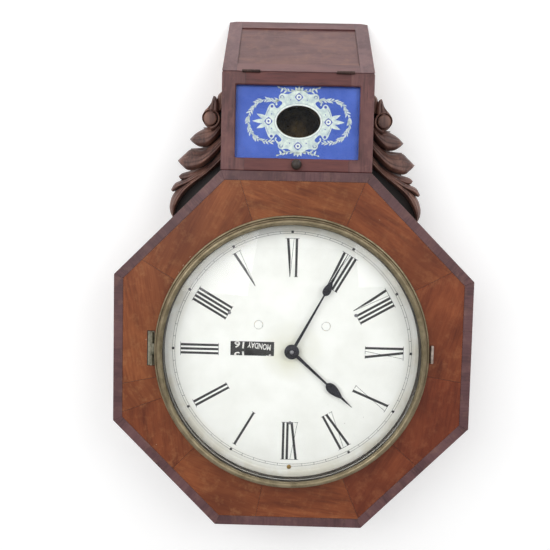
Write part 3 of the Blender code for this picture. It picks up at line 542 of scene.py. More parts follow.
def make_octagon():
    chest = wood("octagon_core", tone(48, 26, 24), tone(78, 46, 42), tone(96, 60, 52), "X")
    y = FRONT + VENEER
    core = octagon_ring([(HALF_FLATS - 0.0008, None, OCTAGON_BACK), (HALF_FLATS, None, OCTAGON_BACK - 0.0008),
                         (HALF_FLATS, None, y), (None, REBATE_RADIUS, y), (None, REBATE_RADIUS, REBATE_Y),
                         (None, HOLE_RADIUS, REBATE_Y), (None, HOLE_RADIUS, OCTAGON_BACK)])
    piece("octagon_core", core, chest.material, "case", "mahogany", "octagon_front")

    inner = HALF_FLATS - BAND_WIDTH
    slip = 0.00012
    strips = []
    for k in range(8):
        turn = 45.0 * k
        outer_half = HALF_FLATS * math.tan(math.radians(22.5)) - slip
        inner_half = inner * math.tan(math.radians(22.5)) - slip
        corners = [(HALF_FLATS, -outer_half), (HALF_FLATS, outer_half), (inner + slip, inner_half),
                   (inner + slip, -inner_half)]
        c, s = math.cos(math.radians(turn)), math.sin(math.radians(turn))
        loop = [(x * c - z * s, x * s + z * c) for x, z in corners]
        strips.append(grain_fields(slab([loop], y, FRONT, 0.00025), turn + 2.0 * (k % 3) - 2.0, 0.0))
    piece("octagon_crossband", joined(strips), crossband(), "case", "mahogany")

    leaves = []
    # Each leaf's share of the darker, redder colour: partly the leaf's own tone, partly painted shade,
    # heaviest on the side away from the key light.
    leaf_tones_and_shade = (0.30, 0.50, 0.35, 0.45, 0.85, 0.95, 0.70, 0.45, 0.05, 0.15, 0.25)
    for k, first in enumerate(JOINTS):
        last = JOINTS[(k + 1) % len(JOINTS)] + (360.0 if k == len(JOINTS) - 1 else 0.0)
        inside = REBATE_RADIUS + 0.002
        gap = math.degrees(0.00018 / inside)
        gap_out = math.degrees(0.00018 / inner)
        count = max(3, int((last - first) / 3))
        arc = [on_circle(inside, last - gap + (first - last + 2 * gap) * j / count) for j in range(count + 1)]
        ends = [on_circle(octagon_reach(inner - slip, a), a) for a in (first + gap_out, last - gap_out)]
        loop = [ends[0], *octagon_corners(inner - slip, first, last), ends[1], *arc]
        middle = (first + last) / 2
        lean = (18.0, -26.0, 9.0, -14.0, 24.0)[k % 5]
        leaf = slab([loop], y, FRONT - 0.00002 * (k % 3) + 0.00004, 0.00018, 1)
        leaves.append(grain_fields(leaf, middle + 90.0 + lean, leaf_tones_and_shade[k]))
    piece("octagon_veneer", joined(leaves), veneer(), "case", "mahogany")


CHIPS = ((0.1672, 322.5, 0.0030, 0.0011), (0.1666, 326.0, 0.0018, 0.0009), (0.1676, 318.0, 0.0022, 0.0008),
         (0.1670, 331.0, 0.0014, 0.0007), (0.1768, -3.5, 0.0020, 0.0011), (0.2010, 36.0, 0.0016, 0.0007),
         (0.1900, 238.0, 0.0013, 0.0006))


def make_chips():
    """Small chips that show the pale ground under the polish."""
    rng = random.Random(11)
    shapes = []
    for radius, degrees, length, width in CHIPS:
        cx, cz = on_circle(radius, degrees)
        turn = math.radians(degrees + 90.0)
        loop = []
        for k in range(9):
            angle = 2 * math.pi * k / 9
            u = length / 2 * math.cos(angle) * rng.uniform(0.7, 1.15)
            v = width / 2 * math.sin(angle) * rng.uniform(0.6, 1.2)
            loop.append((cx + u * math.cos(turn) - v * math.sin(turn),
                         cz + u * math.sin(turn) + v * math.cos(turn)))
        shapes.append(loop)
    look = paint("chipped_polish", tone(150, 116, 88), tone(198, 170, 140), (0.6, 0.8), 600.0)
    piece("veneer_chips", prisms(shapes, FRONT + 0.0003, FRONT - PRINT), look, "case", "mahogany")


def make_hinge_seat():
    """Painted shadow: a dark edge round the bezel's hinge, standing for the shade in the recess it is let
    into.
    """
    low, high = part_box("bezel_hinge_plate")
    side_gap, end_gap = 0.0011, 0.0009
    outline = rectangle(low.x, high.x + side_gap, low.z - end_gap, high.z + end_gap)
    seat = slab([outline], FRONT + 0.0004, FRONT - PRINT)
    look = paint("recess_shadow", tone(26, 16, 13), tone(48, 30, 24), (0.6, 0.8), 300.0)
    piece("hinge_recess", seat, look, "case", "mahogany")


# ---------------------------------------------------------------- carved ears
EAR_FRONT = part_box("ear_right")[0].y + 0.0001
EAR_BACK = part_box("ear_right")[1].y
EAR_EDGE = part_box("ear_right")[0].x
LEAF_BACK = -0.0560
LEAF_WIDTH = 0.012
LEAF_TIP = 0.0022
ROLL = 0.84
GROOVE = 0.0016


def leaf(low_edge, high_edge, valley, crest, flutes, count=30, across=22):
    """A carved leaf between two edges that meet at its tip: it climbs from the low edge to a rolled crest."""
    low = through([(x, 0.0, z) for x, z in low_edge], count)
    high = through([(x, 0.0, z) for x, z in high_edge], count)
    bm = bmesh.new()
    front, rear = [], []
    for i, (a, b) in enumerate(zip(low, high)):
        t = i / count
        width = (b - a).length
        fullness = min(1.0, width / LEAF_WIDTH) ** 0.7
        lift = 0.80 + 0.20 * math.sin(math.pi * min(1.0, t * 1.1))
        line, line_back = [], []
        for j in range(across + 1):
            share = j / across
            if share < ROLL:
                rise = math.sin(math.pi / 2 * (share / ROLL) ** 0.85)
            else:
                rise = 1.0 - 0.45 * ((share - ROLL) / (1.0 - ROLL)) ** 2
            groove = GROOVE * (1.0 - abs(math.sin(math.pi * flutes * share))) ** 2
            groove *= fullness * (1.0 - t ** 4) * min(1.0, 4.0 * share)
            depth = max(valley + (crest - valley) * rise * fullness * lift + groove, EAR_FRONT)
            under = LEAF_BACK + (depth + LEAF_TIP - LEAF_BACK) * min(1.0, 1.25 * t) ** 1.5
            place = a.lerp(b, share)
            line.append(bm.verts.new((place.x, depth, place.z)))
            line_back.append(bm.verts.new((place.x, max(under, depth + 0.0004), place.z)))
        front.append(line)
        rear.append(line_back)
    for rows in (front, rear):
        for i in range(count):
            for j in range(across):
                bm.faces.new((rows[i][j], rows[i + 1][j], rows[i + 1][j + 1], rows[i][j + 1]))
    for i in range(count):
        for j in (0, -1):
            bm.faces.new((front[i][j], front[i + 1][j], rear[i + 1][j], rear[i][j]))
    for j in range(across):
        for i in (0, -1):
            bm.faces.new((front[i][j], front[i][j + 1], rear[i][j + 1], rear[i][j]))
    bmesh.ops.remove_doubles(bm, verts=bm.verts, dist=1e-5)
    return from_bmesh(bm)


def volute(x, z):
    """The scroll: a domed eye in a sunk ring, and a band that winds round it and thins out."""
    rise = EAR_FRONT + 0.0012
    eye = lathe([(0.0, rise), (0.0040, rise + 0.0001), (0.0068, rise + 0.0004), (0.0079, rise + 0.0010),
                 (0.0083, rise + 0.0022), (0.0083, LEAF_BACK), (0.0, LEAF_BACK)], x, z, 48, closed=False)
    floor = lathe([(0.0, -0.0660), (0.0098, -0.0660), (0.0098, LEAF_BACK), (0.0, LEAF_BACK)], x, z, 48,
                  closed=False)
    bm = bmesh.new()
    rows = []
    count = 60
    for k in range(count + 1):
        t = k / count
        degrees = 95.0 + 300.0 * t
        inner = 0.0090 + 0.0010 * (1.0 - t)
        width = 0.0005 + 0.0037 * (1.0 - t) ** 1.4
        row = []
        for j in range(9):
            share = j / 8
            px, pz = on_circle(inner + width * share, degrees, x, z)
            crest = EAR_FRONT + 0.0030 - 0.0024 * math.sin(math.pi * share) * (1.0 - 0.5 * t)
            row.append(bm.verts.new((max(px, EAR_EDGE), crest, pz)))
        for j in (8, 0):
            px, pz = on_circle(inner + width * j / 8, degrees, x, z)
            row.append(bm.verts.new((max(px, EAR_EDGE), LEAF_BACK, pz)))
        rows.append(row)
    skin(bm, zip(rows, rows[1:]))
    bm.faces.new(rows[0])
    bm.faces.new(list(reversed(rows[-1])))
    bmesh.ops.remove_doubles(bm, verts=bm.verts, dist=1e-6)
    return [eye, floor, from_bmesh(bm)]


def ear_leaves():
    """Every leaf of the right-hand ear as its two edges, from root to tip."""
    x0 = EAR_EDGE
    return [
        # two bracts below the scroll
        leaf([(0.1154, -0.2842), (0.1133, -0.2897), (0.1095, -0.2941), (0.1058, -0.2990), (0.1040, -0.3044),
              (0.1026, -0.3083)],
             [(0.0963, -0.2900), (0.0964, -0.2986), (0.0982, -0.3045), (0.1000, -0.3072), (0.1024, -0.3082)],
             -0.0700, -0.0762, 3),
        leaf([(0.0985, -0.2900), (0.0980, -0.3018), (0.0985, -0.3055), (0.0972, -0.3100), (0.0940, -0.3135),
              (x0 + 0.0012, -0.3149)],
             [(x0 + 0.0035, -0.2915), (x0, -0.2965), (x0, -0.3060), (x0, -0.3110), (x0 + 0.0003, -0.3149)],
             -0.0660, -0.0745, 2),
        # the tip over the scroll, and the first leaf
        leaf([(0.1000, -0.2730), (0.1080, -0.2718), (0.1156, -0.2712)],
             [(0.1000, -0.2670), (0.1090, -0.2672), (0.1156, -0.2706)], -0.0600, -0.0680, 1, 14),
        leaf([(0.0945, -0.2800), (0.1003, -0.2732), (0.1094, -0.2712), (0.1231, -0.2642), (0.1316, -0.2561)],
             [(x0, -0.2740), (0.0971, -0.2604), (0.1083, -0.2489), (0.1185, -0.2470), (0.1265, -0.2508),
              (0.1315, -0.2557)], -0.0640, -0.0774, 3),
        # the second leaf, with a small tip behind it
        leaf([(0.1000, -0.2500), (0.1190, -0.2464), (0.1312, -0.2453)],
             [(0.1000, -0.2420), (0.1212, -0.2415), (0.1311, -0.2448)], -0.0590, -0.0650, 1, 14),
        leaf([(x0, -0.2640), (0.0978, -0.2568), (0.1136, -0.2440), (0.1296, -0.2440), (0.1376, -0.2379),
              (0.1462, -0.2297)],
             [(x0, -0.2493), (0.0990, -0.2379), (0.1147, -0.2240), (0.1317, -0.2180), (0.1400, -0.2228),
              (0.1461, -0.2293)], -0.0635, -0.0774, 3),
        # a small tip, the third leaf and the long one that ends on the octagon
        leaf([(0.1050, -0.2290), (0.1150, -0.2229), (0.1323, -0.2174), (0.1415, -0.2143), (0.1455, -0.2108)],
             [(0.1060, -0.2240), (0.1227, -0.2123), (0.1342, -0.2075), (0.1422, -0.2067), (0.1455, -0.2102)],
             -0.0590, -0.0660, 1),
        leaf([(0.0980, -0.2320), (0.1145, -0.2203), (0.1339, -0.2085), (0.1488, -0.2024), (0.1545, -0.1937)],
             [(0.0960, -0.2275), (0.1103, -0.2153), (0.1329, -0.2012), (0.1443, -0.1964), (0.1511, -0.1912),
              (0.1543, -0.1932)], -0.0620, -0.0745, 2),
        leaf([(x0, -0.2460), (0.1084, -0.2235), (0.1300, -0.2060), (0.1494, -0.1908), (0.1553, -0.1770),
              (0.1550, -0.1667), (0.1520, -0.1600)],
             [(x0, -0.2300), (0.1122, -0.2117), (0.1325, -0.1943), (0.1449, -0.1770), (0.1513, -0.1598)],
             -0.0640, -0.0772, 3),
    ]


def make_ear(side, word, look, recess):
    x0 = EAR_EDGE
    outline = [(x0, -0.3040), (0.0940, -0.2960), (0.0974, -0.2919), (0.1010, -0.2870), (0.1060, -0.2750),
               (0.1104, -0.2687), (0.1120, -0.2560), (0.1167, -0.2465), (0.1230, -0.2330), (0.1297, -0.2205),
               (0.1380, -0.2110), (0.1455, -0.2040), (0.1510, -0.1916), (0.1532, -0.1749), (0.1532, -0.1580),
               (0.1500, -0.1400), (0.1400, -0.1381), (x0, -0.1878)]
    # The ground plate takes the painted-shade wood that stands for the dark recess behind the leaves.
    plate = slab([[(side * x, z) for x, z in outline]], EAR_BACK, LEAF_BACK - 0.0008, 0.0008)
    piece("ear_ground_" + word, plate, recess, "case", "carving")
    mesh = joined([*volute(0.1059, -0.2804), *ear_leaves()])
    if side < 0:
        mesh.transform(Matrix.Scale(-1.0, 4, (1.0, 0.0, 0.0)))
        mesh.flip_normals()
    piece("carved_ear_" + word, mesh, look, "case", "carving", "ear_" + word, degrees=50.0)


# ---------------------------------------------------------------- dial
TRACK = (0.1427, 0.1454)
TOP_LEFT = 0.0007
TOP_LOW = 0.0022
BOTTOM_RIGHT = 0.0023
NUMERAL_SHIFT = {5: 0.0016, 6: 0.0022}
NUMERAL_DROP = {5: 0.0010, 6: 0.0012, 12: 0.0008}


def make_dial():
    screws = [on_circle(0.089, a) for a in (90.0, -30.5, 210.5)]
    rim = 0.1484
    holes = [circle(0.0052, count=32), rectangle(*WINDOW_X, *WINDOW_Z), circle(0.0013, 0.0, 0.144, 16)]
    holes += [circle(0.0055, side * WINDING[0], WINDING[1], 40) for side in (-1, 1)]
    holes += [circle(0.0015, x, z, 16) for x, z in screws]
    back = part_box("dial_plate")[1].y
    face = slab([circle(rim, count=160)] + holes, back, DIAL_FRONT)
    lip = DIAL_FRONT - 0.0004
    edge = lathe([(rim, back), (DIAL_RADIUS, back), (DIAL_RADIUS, DIAL_FRONT), (DIAL_RADIUS - 0.0015, lip),
                  (0.1512, lip), (0.1500, lip + 0.0001), (0.1490, DIAL_FRONT - 0.0001), (rim, DIAL_FRONT)],
                 steps=160)
    piece("dial_face", joined([face, edge]), dial_paint(), "case", "dial_paint", "dial_plate")

    ink = paint("printing_ink", tone(22, 22, 24), tone(46, 46, 48), (0.45, 0.65), 500.0)
    marks = []
    for k in range(12):
        marks += numeral(k + 1)
    piece("dial_numerals", prisms(marks, DIAL_FRONT, DIAL_FRONT - PRINT), ink, "case", "black_steel")

    minutes, hours = [], []
    for minute in range(1, 60):
        half, low, high = (0.00022, *TRACK) if minute % 5 else (0.0015, 0.1432, 0.1462)
        mark = turned(rectangle(-half, half, low, high), 90.0 - 6.0 * minute)
        (minutes if minute % 5 else hours).append([drifted(x, z) for x, z in mark])
    line = 0.00018
    rings = [lathe([(r - line, DIAL_FRONT), (r + line, DIAL_FRONT), (r + line, DIAL_FRONT - PRINT),
                    (r - line, DIAL_FRONT - PRINT)], steps=180) for r in TRACK]
    for ring in rings:
        for vertex in ring.vertices:
            vertex.co.x, vertex.co.z = drifted(vertex.co.x, vertex.co.z)
    faint = paint("track_ink", tone(60, 60, 58), tone(104, 104, 100), (0.45, 0.65), 500.0)
    ticks = prisms(minutes, DIAL_FRONT, DIAL_FRONT - PRINT)
    piece("minute_track", joined([*rings, ticks]), faint, "case", "black_steel")
    squares = prisms(hours, DIAL_FRONT, DIAL_FRONT - PRINT)
    piece("five_minute_marks", squares, ink, "case", "black_steel")


def drifted(x, z):
    """Where a mark of the uneven track lies: low and to the left at the top, to the right at the bottom."""
    rise = z / math.hypot(x, z)
    up = max(0.0, rise) ** 2
    down = max(0.0, -rise) ** 8
    return (x - TOP_LEFT * up + BOTTOM_RIGHT * down, z - TOP_LOW * up)


def turned(outline, degrees):
    """An outline drawn upright, with its top outwards, brought round the dial."""
    turn = math.radians(degrees - 90.0)
    c, s = math.cos(turn), math.sin(turn)
    return [(x * c - z * s, x * s + z * c) for x, z in outline]


NUMERALS = ("I", "II", "III", "IIII", "V", "VI", "VII", "VIII", "IX", "X", "XI", "XII")


def numeral(hour):
    """One hour figure, feet to the centre, from thick strokes, hairlines and serif bars."""
    foot, head = 0.0890, 0.1358
    thick, hair, bar = 0.0030, 0.00045, 0.0005
    pitch, slant = 0.0050, 0.0090
    shapes, x = [], 0.0
    for letter in NUMERALS[hour - 1]:
        if letter == "I":
            shapes.append([(x, foot), (x + thick * 0.92, foot), (x + thick, head), (x, head)])
            shapes.append([(x - 0.0009, foot), (x + thick + 0.0009, foot), (x + thick + 0.0009, foot + bar),
                           (x - 0.0009, foot + bar)])
            x += pitch
        elif letter == "V":
            tip = x + slant * 0.50
            middle = (foot + head) / 2
            shapes.append([(tip - 0.0003, foot), (tip + 0.0003, foot),
                           (x + slant * 0.25 + thick * 0.95, middle), (x + thick, head), (x, head),
                           (x + slant * 0.22, middle)])
            shapes.append([(tip, foot + 0.0002), (tip + hair, foot + 0.0002), (x + slant, head),
                           (x + slant - hair, head)])
            x += slant + 0.0016
        else:
            shapes.append([(x + slant - thick, foot), (x + slant, foot), (x + thick, head), (x, head)])
            shapes.append([(x, foot), (x + hair, foot), (x + slant, head), (x + slant - hair, head)])
            for low in (x - 0.0004, x + slant - thick - 0.0008):
                shapes.append([(low, foot), (low + thick + 0.0014, foot), (low + thick + 0.0014, foot + bar),
                               (low, foot + bar)])
            x += slant + 0.0020
    width = x - (pitch - thick if NUMERALS[hour - 1][-1] == "I" else 0.0018)
    past = 0.0016
    shapes.append(rectangle(-past, width + past, head - bar, head))
    centred = [[(px - width / 2, pz) for px, pz in shape] for shape in shapes]
    shift = NUMERAL_SHIFT.get(hour, 0.0)
    drop = NUMERAL_DROP.get(hour, 0.0)
    return [[(x + shift, z - drop) for x, z in turned(shape, 90.0 - 30.0 * hour)] for shape in centred]


def lettering(word, degrees, near, far, height, level):
    """A word set along a radius, fitted between two radii."""
    text = bpy.data.curves.new("lettering", "FONT")
    text.body = word
    text.offset = 0.022
    text.extrude = 0.0
    text.resolution_u = 3
    mesh = mesh_of(text)
    xs = [v.co.x for v in mesh.vertices]
    ys = [v.co.y for v in mesh.vertices]
    scale_x = (far - near) / (max(xs) - min(xs))
    scale_y = height / (max(ys) - min(ys))
    fit = Matrix.Diagonal((scale_x, scale_y, 1.0, 1.0)) @ Matrix.Translation(
        (-min(xs), -(max(ys) + min(ys)) / 2, 0.0))
    mesh.transform(Matrix.Translation((near, 0.0, 0.0)) @ fit)
    mesh.transform(Matrix.Rotation(-math.radians(degrees), 4, "Y") @ Matrix.Translation((0.0, level, 0.0))
                   @ Matrix.Rotation(math.pi / 2, 4, "X"))
    bm = welded(mesh, 1e-7)
    made = bmesh.ops.extrude_face_region(bm, geom=list(bm.faces))
    moved = [g for g in made["geom"] if isinstance(g, bmesh.types.BMVert)]
    bmesh.ops.translate(bm, verts=moved, vec=(0.0, -PRINT, 0.0))
    return from_bmesh(bm)


DAYS = ("MONDAY", "SUNDAY", "SATURDAY", "FRIDAY", "THURSDAY", "WEDNESDAY", "TUESDAY")


def make_calendar():
    white = paint("disc_lettering", tone(214, 214, 208), tone(240, 240, 236), (0.5, 0.7), 400.0)
    disc_level = -0.0882
    words = []
    for k in range(14):
        word = DAYS[k % 7]
        words.append(lettering(word, -6.6 + 360.0 / 14 * k, 0.0258, 0.0542, 0.0074, disc_level))
    piece("day_names", joined(words), white, "day", "calendar_paint")
    numbers = []
    for k in range(31):
        number = (16 - k - 1) % 31 + 1
        start = 0.0584 if number > 9 else 0.0616
        far = 0.0704 if number > 9 else 0.0672
        numbers.append(lettering(str(number), -5.2 + 360.0 / 31 * k, start, far, 0.0086, disc_level))
    piece("date_numbers", joined(numbers), white, "date", "calendar_paint")


# ---------------------------------------------------------------- hands
def hand_outline(hub, stem, pear, pear_width, tip):
    """A hand that points up: a round hub, a slim stem, a pear and a needle."""
    low, high = pear
    start, end = stem
    join_angle = math.degrees(math.acos(start / hub))
    right = [(end, low)]
    count = 14
    for k in range(1, count):
        share = k / count
        width = math.sin(math.pi * share ** 0.62) ** 0.8
        taper = 0.0014 * share
        right.append((max(end, pear_width / 2 * width, taper), low + (high - low) * share))
    right += [(0.0014, high), (0.0009, (high + tip) / 2), (0.0003, tip)]
    left = [(-x, z) for x, z in reversed(right)]
    arc = [on_circle(hub, 180 - join_angle + (180 + 2 * join_angle) * k / 40) for k in range(41)]
    return arc + right + left


def make_hands():
    black = metal("blued_steel", tone(28, 28, 34), tone(48, 48, 56), (0.30, 0.50), 0.7, 120.0, 0.3)
    silver = metal("hand_nut_steel", tone(110, 110, 114), tone(190, 190, 194), (0.20, 0.40))
    hour = hand_outline(0.0085, (0.0021, 0.0012), (0.0580, 0.0850), 0.0116, 0.1000)
    minute = hand_outline(0.0090, (0.0019, 0.0010), (0.0785, 0.0985), 0.0098, 0.1360)
    shapes = {"hour": (hour, 0.0037, HOUR_ANGLE), "minute": (minute, 0.0014, MINUTE_ANGLE)}
    for word, (outline, bore, angle) in shapes.items():
        node = word + "_hand"
        front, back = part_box(node)[0].y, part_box(node)[1].y
        blade = slab([outline, circle(bore, count=24)], back, front, 0.0003, 2)
        parts = [blade]
        if word == "minute":
            parts.append(lathe([(0.0026, front - 0.0009), (0.0055, front - 0.0006), (0.0080, front),
                                (0.0080, front + 0.0003), (0.0026, front + 0.0003)], steps=48))
        mesh = joined(parts)
        mesh.transform(Matrix.Rotation(math.radians(angle), 4, "Y"))
        piece(node + "_blade", mesh, black, word, "black_steel", node)
    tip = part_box("hand_nut")[0].y
    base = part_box("hand_nut")[1].y
    nut = lathe([(0.0, tip), (0.0010, tip + 0.0001), (0.0018, tip + 0.0006), (0.0020, tip + 0.0014),
                 (0.0024, tip + 0.0018), (0.0024, base), (0.0013, base), (0.0013, tip + 0.0010),
                 (0.0, tip + 0.0009)], steps=32, closed=False)
    piece("hand_nut_turned", nut, silver, "minute", "steel", "hand_nut")


# ---------------------------------------------------------------- bezel and glass
def bead(radius, depth, size, first, last, count=7):
    """Part of a round moulding seen in section."""
    points = []
    for k in range(count):
        angle = math.radians(first + (last - first) * k / (count - 1))
        points.append((radius + size * math.cos(angle), depth - size * math.sin(angle)))
    return points


def make_bezel():
    brass = metal("old_brass", tone(122, 110, 86), tone(152, 140, 114), (0.30, 0.46), 0.85, 70.0, 0.7)
    base, top = BEZEL_BASE, BEZEL_TOP
    profile = [(0.1531, base), (0.1644, base), (0.1648, base - 0.0004)]
    profile += bead(0.1632, base - 0.0062, 0.0016, 0.0, 125.0)
    profile += [(0.1617, base - 0.0092), (0.1611, base - 0.0100)]
    profile += bead(0.1603, base - 0.0122, 0.0009, -30.0, 140.0)
    profile += [(0.1594, base - 0.0142)]
    profile += bead(0.1568, top + 0.0027, 0.0027, 10.0, 165.0, 10)
    profile += [(0.1539, top + 0.0024), (0.1532, top + 0.0032), (0.1531, top + 0.0045)]
    moulding = lathe(profile, 0.0006, 0.0006, 144)
    piece("bezel_moulding", moulding, brass, "bezel", "bezel_brass", "bezel_ring")
    # Painted shade: the inside wall of the bezel gets a dark brown-black metal instead of brass, standing for
    # the shade between the bezel and the dial.
    shade = metal("bezel_reveal_painted_shade", tone(34, 28, 24), tone(66, 56, 46), (0.45, 0.65), 0.6, 60.0, 0.5)
    wall = [(0.1529, top + 0.0042), (0.1534, top + 0.0044), (0.1534, base), (0.1529, base)]
    piece("bezel_reveal_painted_shade", lathe(wall, 0.0006, 0.0006, 144), shade, "bezel", "bezel_brass")

    rim = 0.1525
    rise = 0.014
    edge = top + 0.0068
    sphere = (rim ** 2 + rise ** 2) / (2 * rise)
    outer = []
    count = 18
    for k in range(count + 1):
        radius = rim * k / count
        outer.append((radius, edge - rise + sphere - math.sqrt(sphere ** 2 - radius ** 2)))
    inner = [(radius, depth + 0.0020) for radius, depth in reversed(outer)]
    glass = lathe(outer + inner, steps=128, closed=False)
    piece("dial_glass_dome", glass, clear_glass("bezel_glass", 1.32), "bezel", "clear_glass", "dial_glass",
          degrees=40.0)


# ---------------------------------------------------------------- tablet in the drop door
def petal(length, width, x, z, degrees, blunt=0.5):
    """A pointed leaf from (x, z)."""
    c, s = math.cos(math.radians(degrees)), math.sin(math.radians(degrees))
    side = [(t, math.sin(math.pi * t ** blunt) ** 0.9) for t in (0.08, 0.22, 0.4, 0.6, 0.8, 0.93)]
    local = [(0.0, 0.0)] + [(length * t, width / 2 * w) for t, w in side] + [(length, 0.0)]
    local += [(length * t, -width / 2 * w) for t, w in reversed(side)]
    return [(x + u * c - v * s, z + u * s + v * c) for u, v in local]


def band(points, width):
    """A ribbon of constant width along points, as short quads."""
    quads = []
    for a, b in zip(points, points[1:]):
        dx, dz = b[0] - a[0], b[1] - a[1]
        size = math.hypot(dx, dz) or 1.0
        nx, nz = -dz / size * width / 2, dx / size * width / 2
        ex, ez = dx / size * width * 0.12, dz / size * width * 0.12
        quads.append([(a[0] + nx - ex, a[1] + nz - ez), (a[0] - nx - ex, a[1] - nz - ez),
                      (b[0] - nx + ex, b[1] - nz + ez), (b[0] + nx + ex, b[1] + nz + ez)])
    return quads


def ellipse(half_x, half_z, x=0.0, z=0.0, first=0.0, last=360.0, count=72):
    return [(x + half_x * math.cos(math.radians(first + (last - first) * k / count)),
             z + half_z * math.sin(math.radians(first + (last - first) * k / count))) for k in range(count)]


def mirrored(shapes, x0, z0):
    """Shapes of one quarter, given from the oval's centre, repeated in all four."""
    made = []
    for sx in (1, -1):
        for sz in (1, -1):
            made += [[(x0 + sx * x, z0 + sz * z) for x, z in shape] for shape in shapes]
    return made


def scroll(x, z, radius, first, sweep, width, count=18):
    """A curl that tightens as it goes round."""
    points = []
    for k in range(count + 1):
        t = k / count
        points.append(on_circle(radius * (1.0 - 0.55 * t), first + sweep * t, x, z))
    return band(points, width)


CARTOUCHE = ((0.0415, 0.0), (0.0407, 0.0040), (0.0385, 0.0110), (0.0363, 0.0165), (0.0342, 0.0196),
             (0.0316, 0.0208), (0.0294, 0.0196), (0.0280, 0.0168), (0.0258, 0.0152), (0.0235, 0.0168),
             (0.0213, 0.0190), (0.0197, 0.0212), (0.0206, 0.0232), (0.0226, 0.0243), (0.0238, 0.0266),
             (0.0238, 0.0294), (0.0224, 0.0318), (0.0198, 0.0330), (0.0168, 0.0324), (0.0130, 0.0322),
             (0.0098, 0.0334), (0.0070, 0.0356), (0.0, 0.0362))
GARLAND = ((0.0240, -0.0254), (0.0305, -0.0250), (0.0402, -0.0252), (0.0495, -0.0226), (0.0546, -0.0164),
           (0.0592, -0.0072), (0.0606, 0.0), (0.0590, 0.0085), (0.0550, 0.0158), (0.0490, 0.0208),
           (0.0390, 0.0242), (0.0280, 0.0240))
ROSETTES = ((0.0357, 0.0), (-0.0357, 0.0), (0.0, 0.0288), (0.0, -0.0288))


def stencil_shapes(x0, z0):
    """The sprigs, palmettes and garlands round the cartouche."""
    quarter = [petal(0.0125, 0.0050, 0.0385, 0.0034, 24.0, 0.6), petal(0.0062, 0.0022, 0.0230, 0.0262, -48.0),
               petal(0.0050, 0.0020, 0.0262, 0.0188, 75.0), petal(0.0075, 0.0044, 0.0016, 0.0338, 68.0, 0.6),
               petal(0.0070, 0.0040, 0.0048, 0.0332, 46.0, 0.6)]
    # branches of the crest
    branch = [(0.0060, 0.0364), (0.0105, 0.0352), (0.0150, 0.0362), (0.0196, 0.0388), (0.0250, 0.0394)]
    quarter += band([(p.x, p.z) for p in through([(x, 0.0, z) for x, z in branch], 16)], 0.0009)
    quarter += [petal(0.0052, 0.0022, 0.0196, 0.0384, -62.0), petal(0.0048, 0.0022, 0.0150, 0.0360, -40.0),
                petal(0.0046, 0.0022, 0.0118, 0.0352, 62.0), petal(0.0052, 0.0024, 0.0150, 0.0362, 52.0),
                petal(0.0040, 0.0018, 0.0226, 0.0392, 28.0)]
    shapes = mirrored(quarter, x0, z0)
    for side in (1, -1):
        point = petal(0.0165, 0.0054, 0.0385, 0.0, 0.0, 0.6)
        shapes.append([(x0 + side * x, z0 + z) for x, z in point])
        point = petal(0.0088, 0.0044, 0.0, 0.0331, 90.0, 0.6)
        shapes.append([(x0 + x, z0 + side * z) for x, z in point])
        # leaves in turn either side of the garland's stem
        run = through([(side * x, 0.0, z) for x, z in GARLAND], 30)
        shapes += band([(x0 + p.x, z0 + p.z) for p in run], 0.0005)
        for k, (a, b) in enumerate(zip(run, run[1:])):
            heading = math.degrees(math.atan2(b.z - a.z, b.x - a.x))
            size = 0.0052 + 0.0009 * math.sin(k * 2.3)
            lean = 34.0 + 8.0 * math.sin(k * 1.7)
            for way in (1, -1):
                if k % 2 and way < 0 and k % 4 == 1:
                    continue
                near = 0.45 if way < 0 else 0.0
                start = a.lerp(b, near)
                shapes.append(petal(size, 0.0018, x0 + start.x, z0 + start.z, heading + way * lean, 0.7))
    return shapes


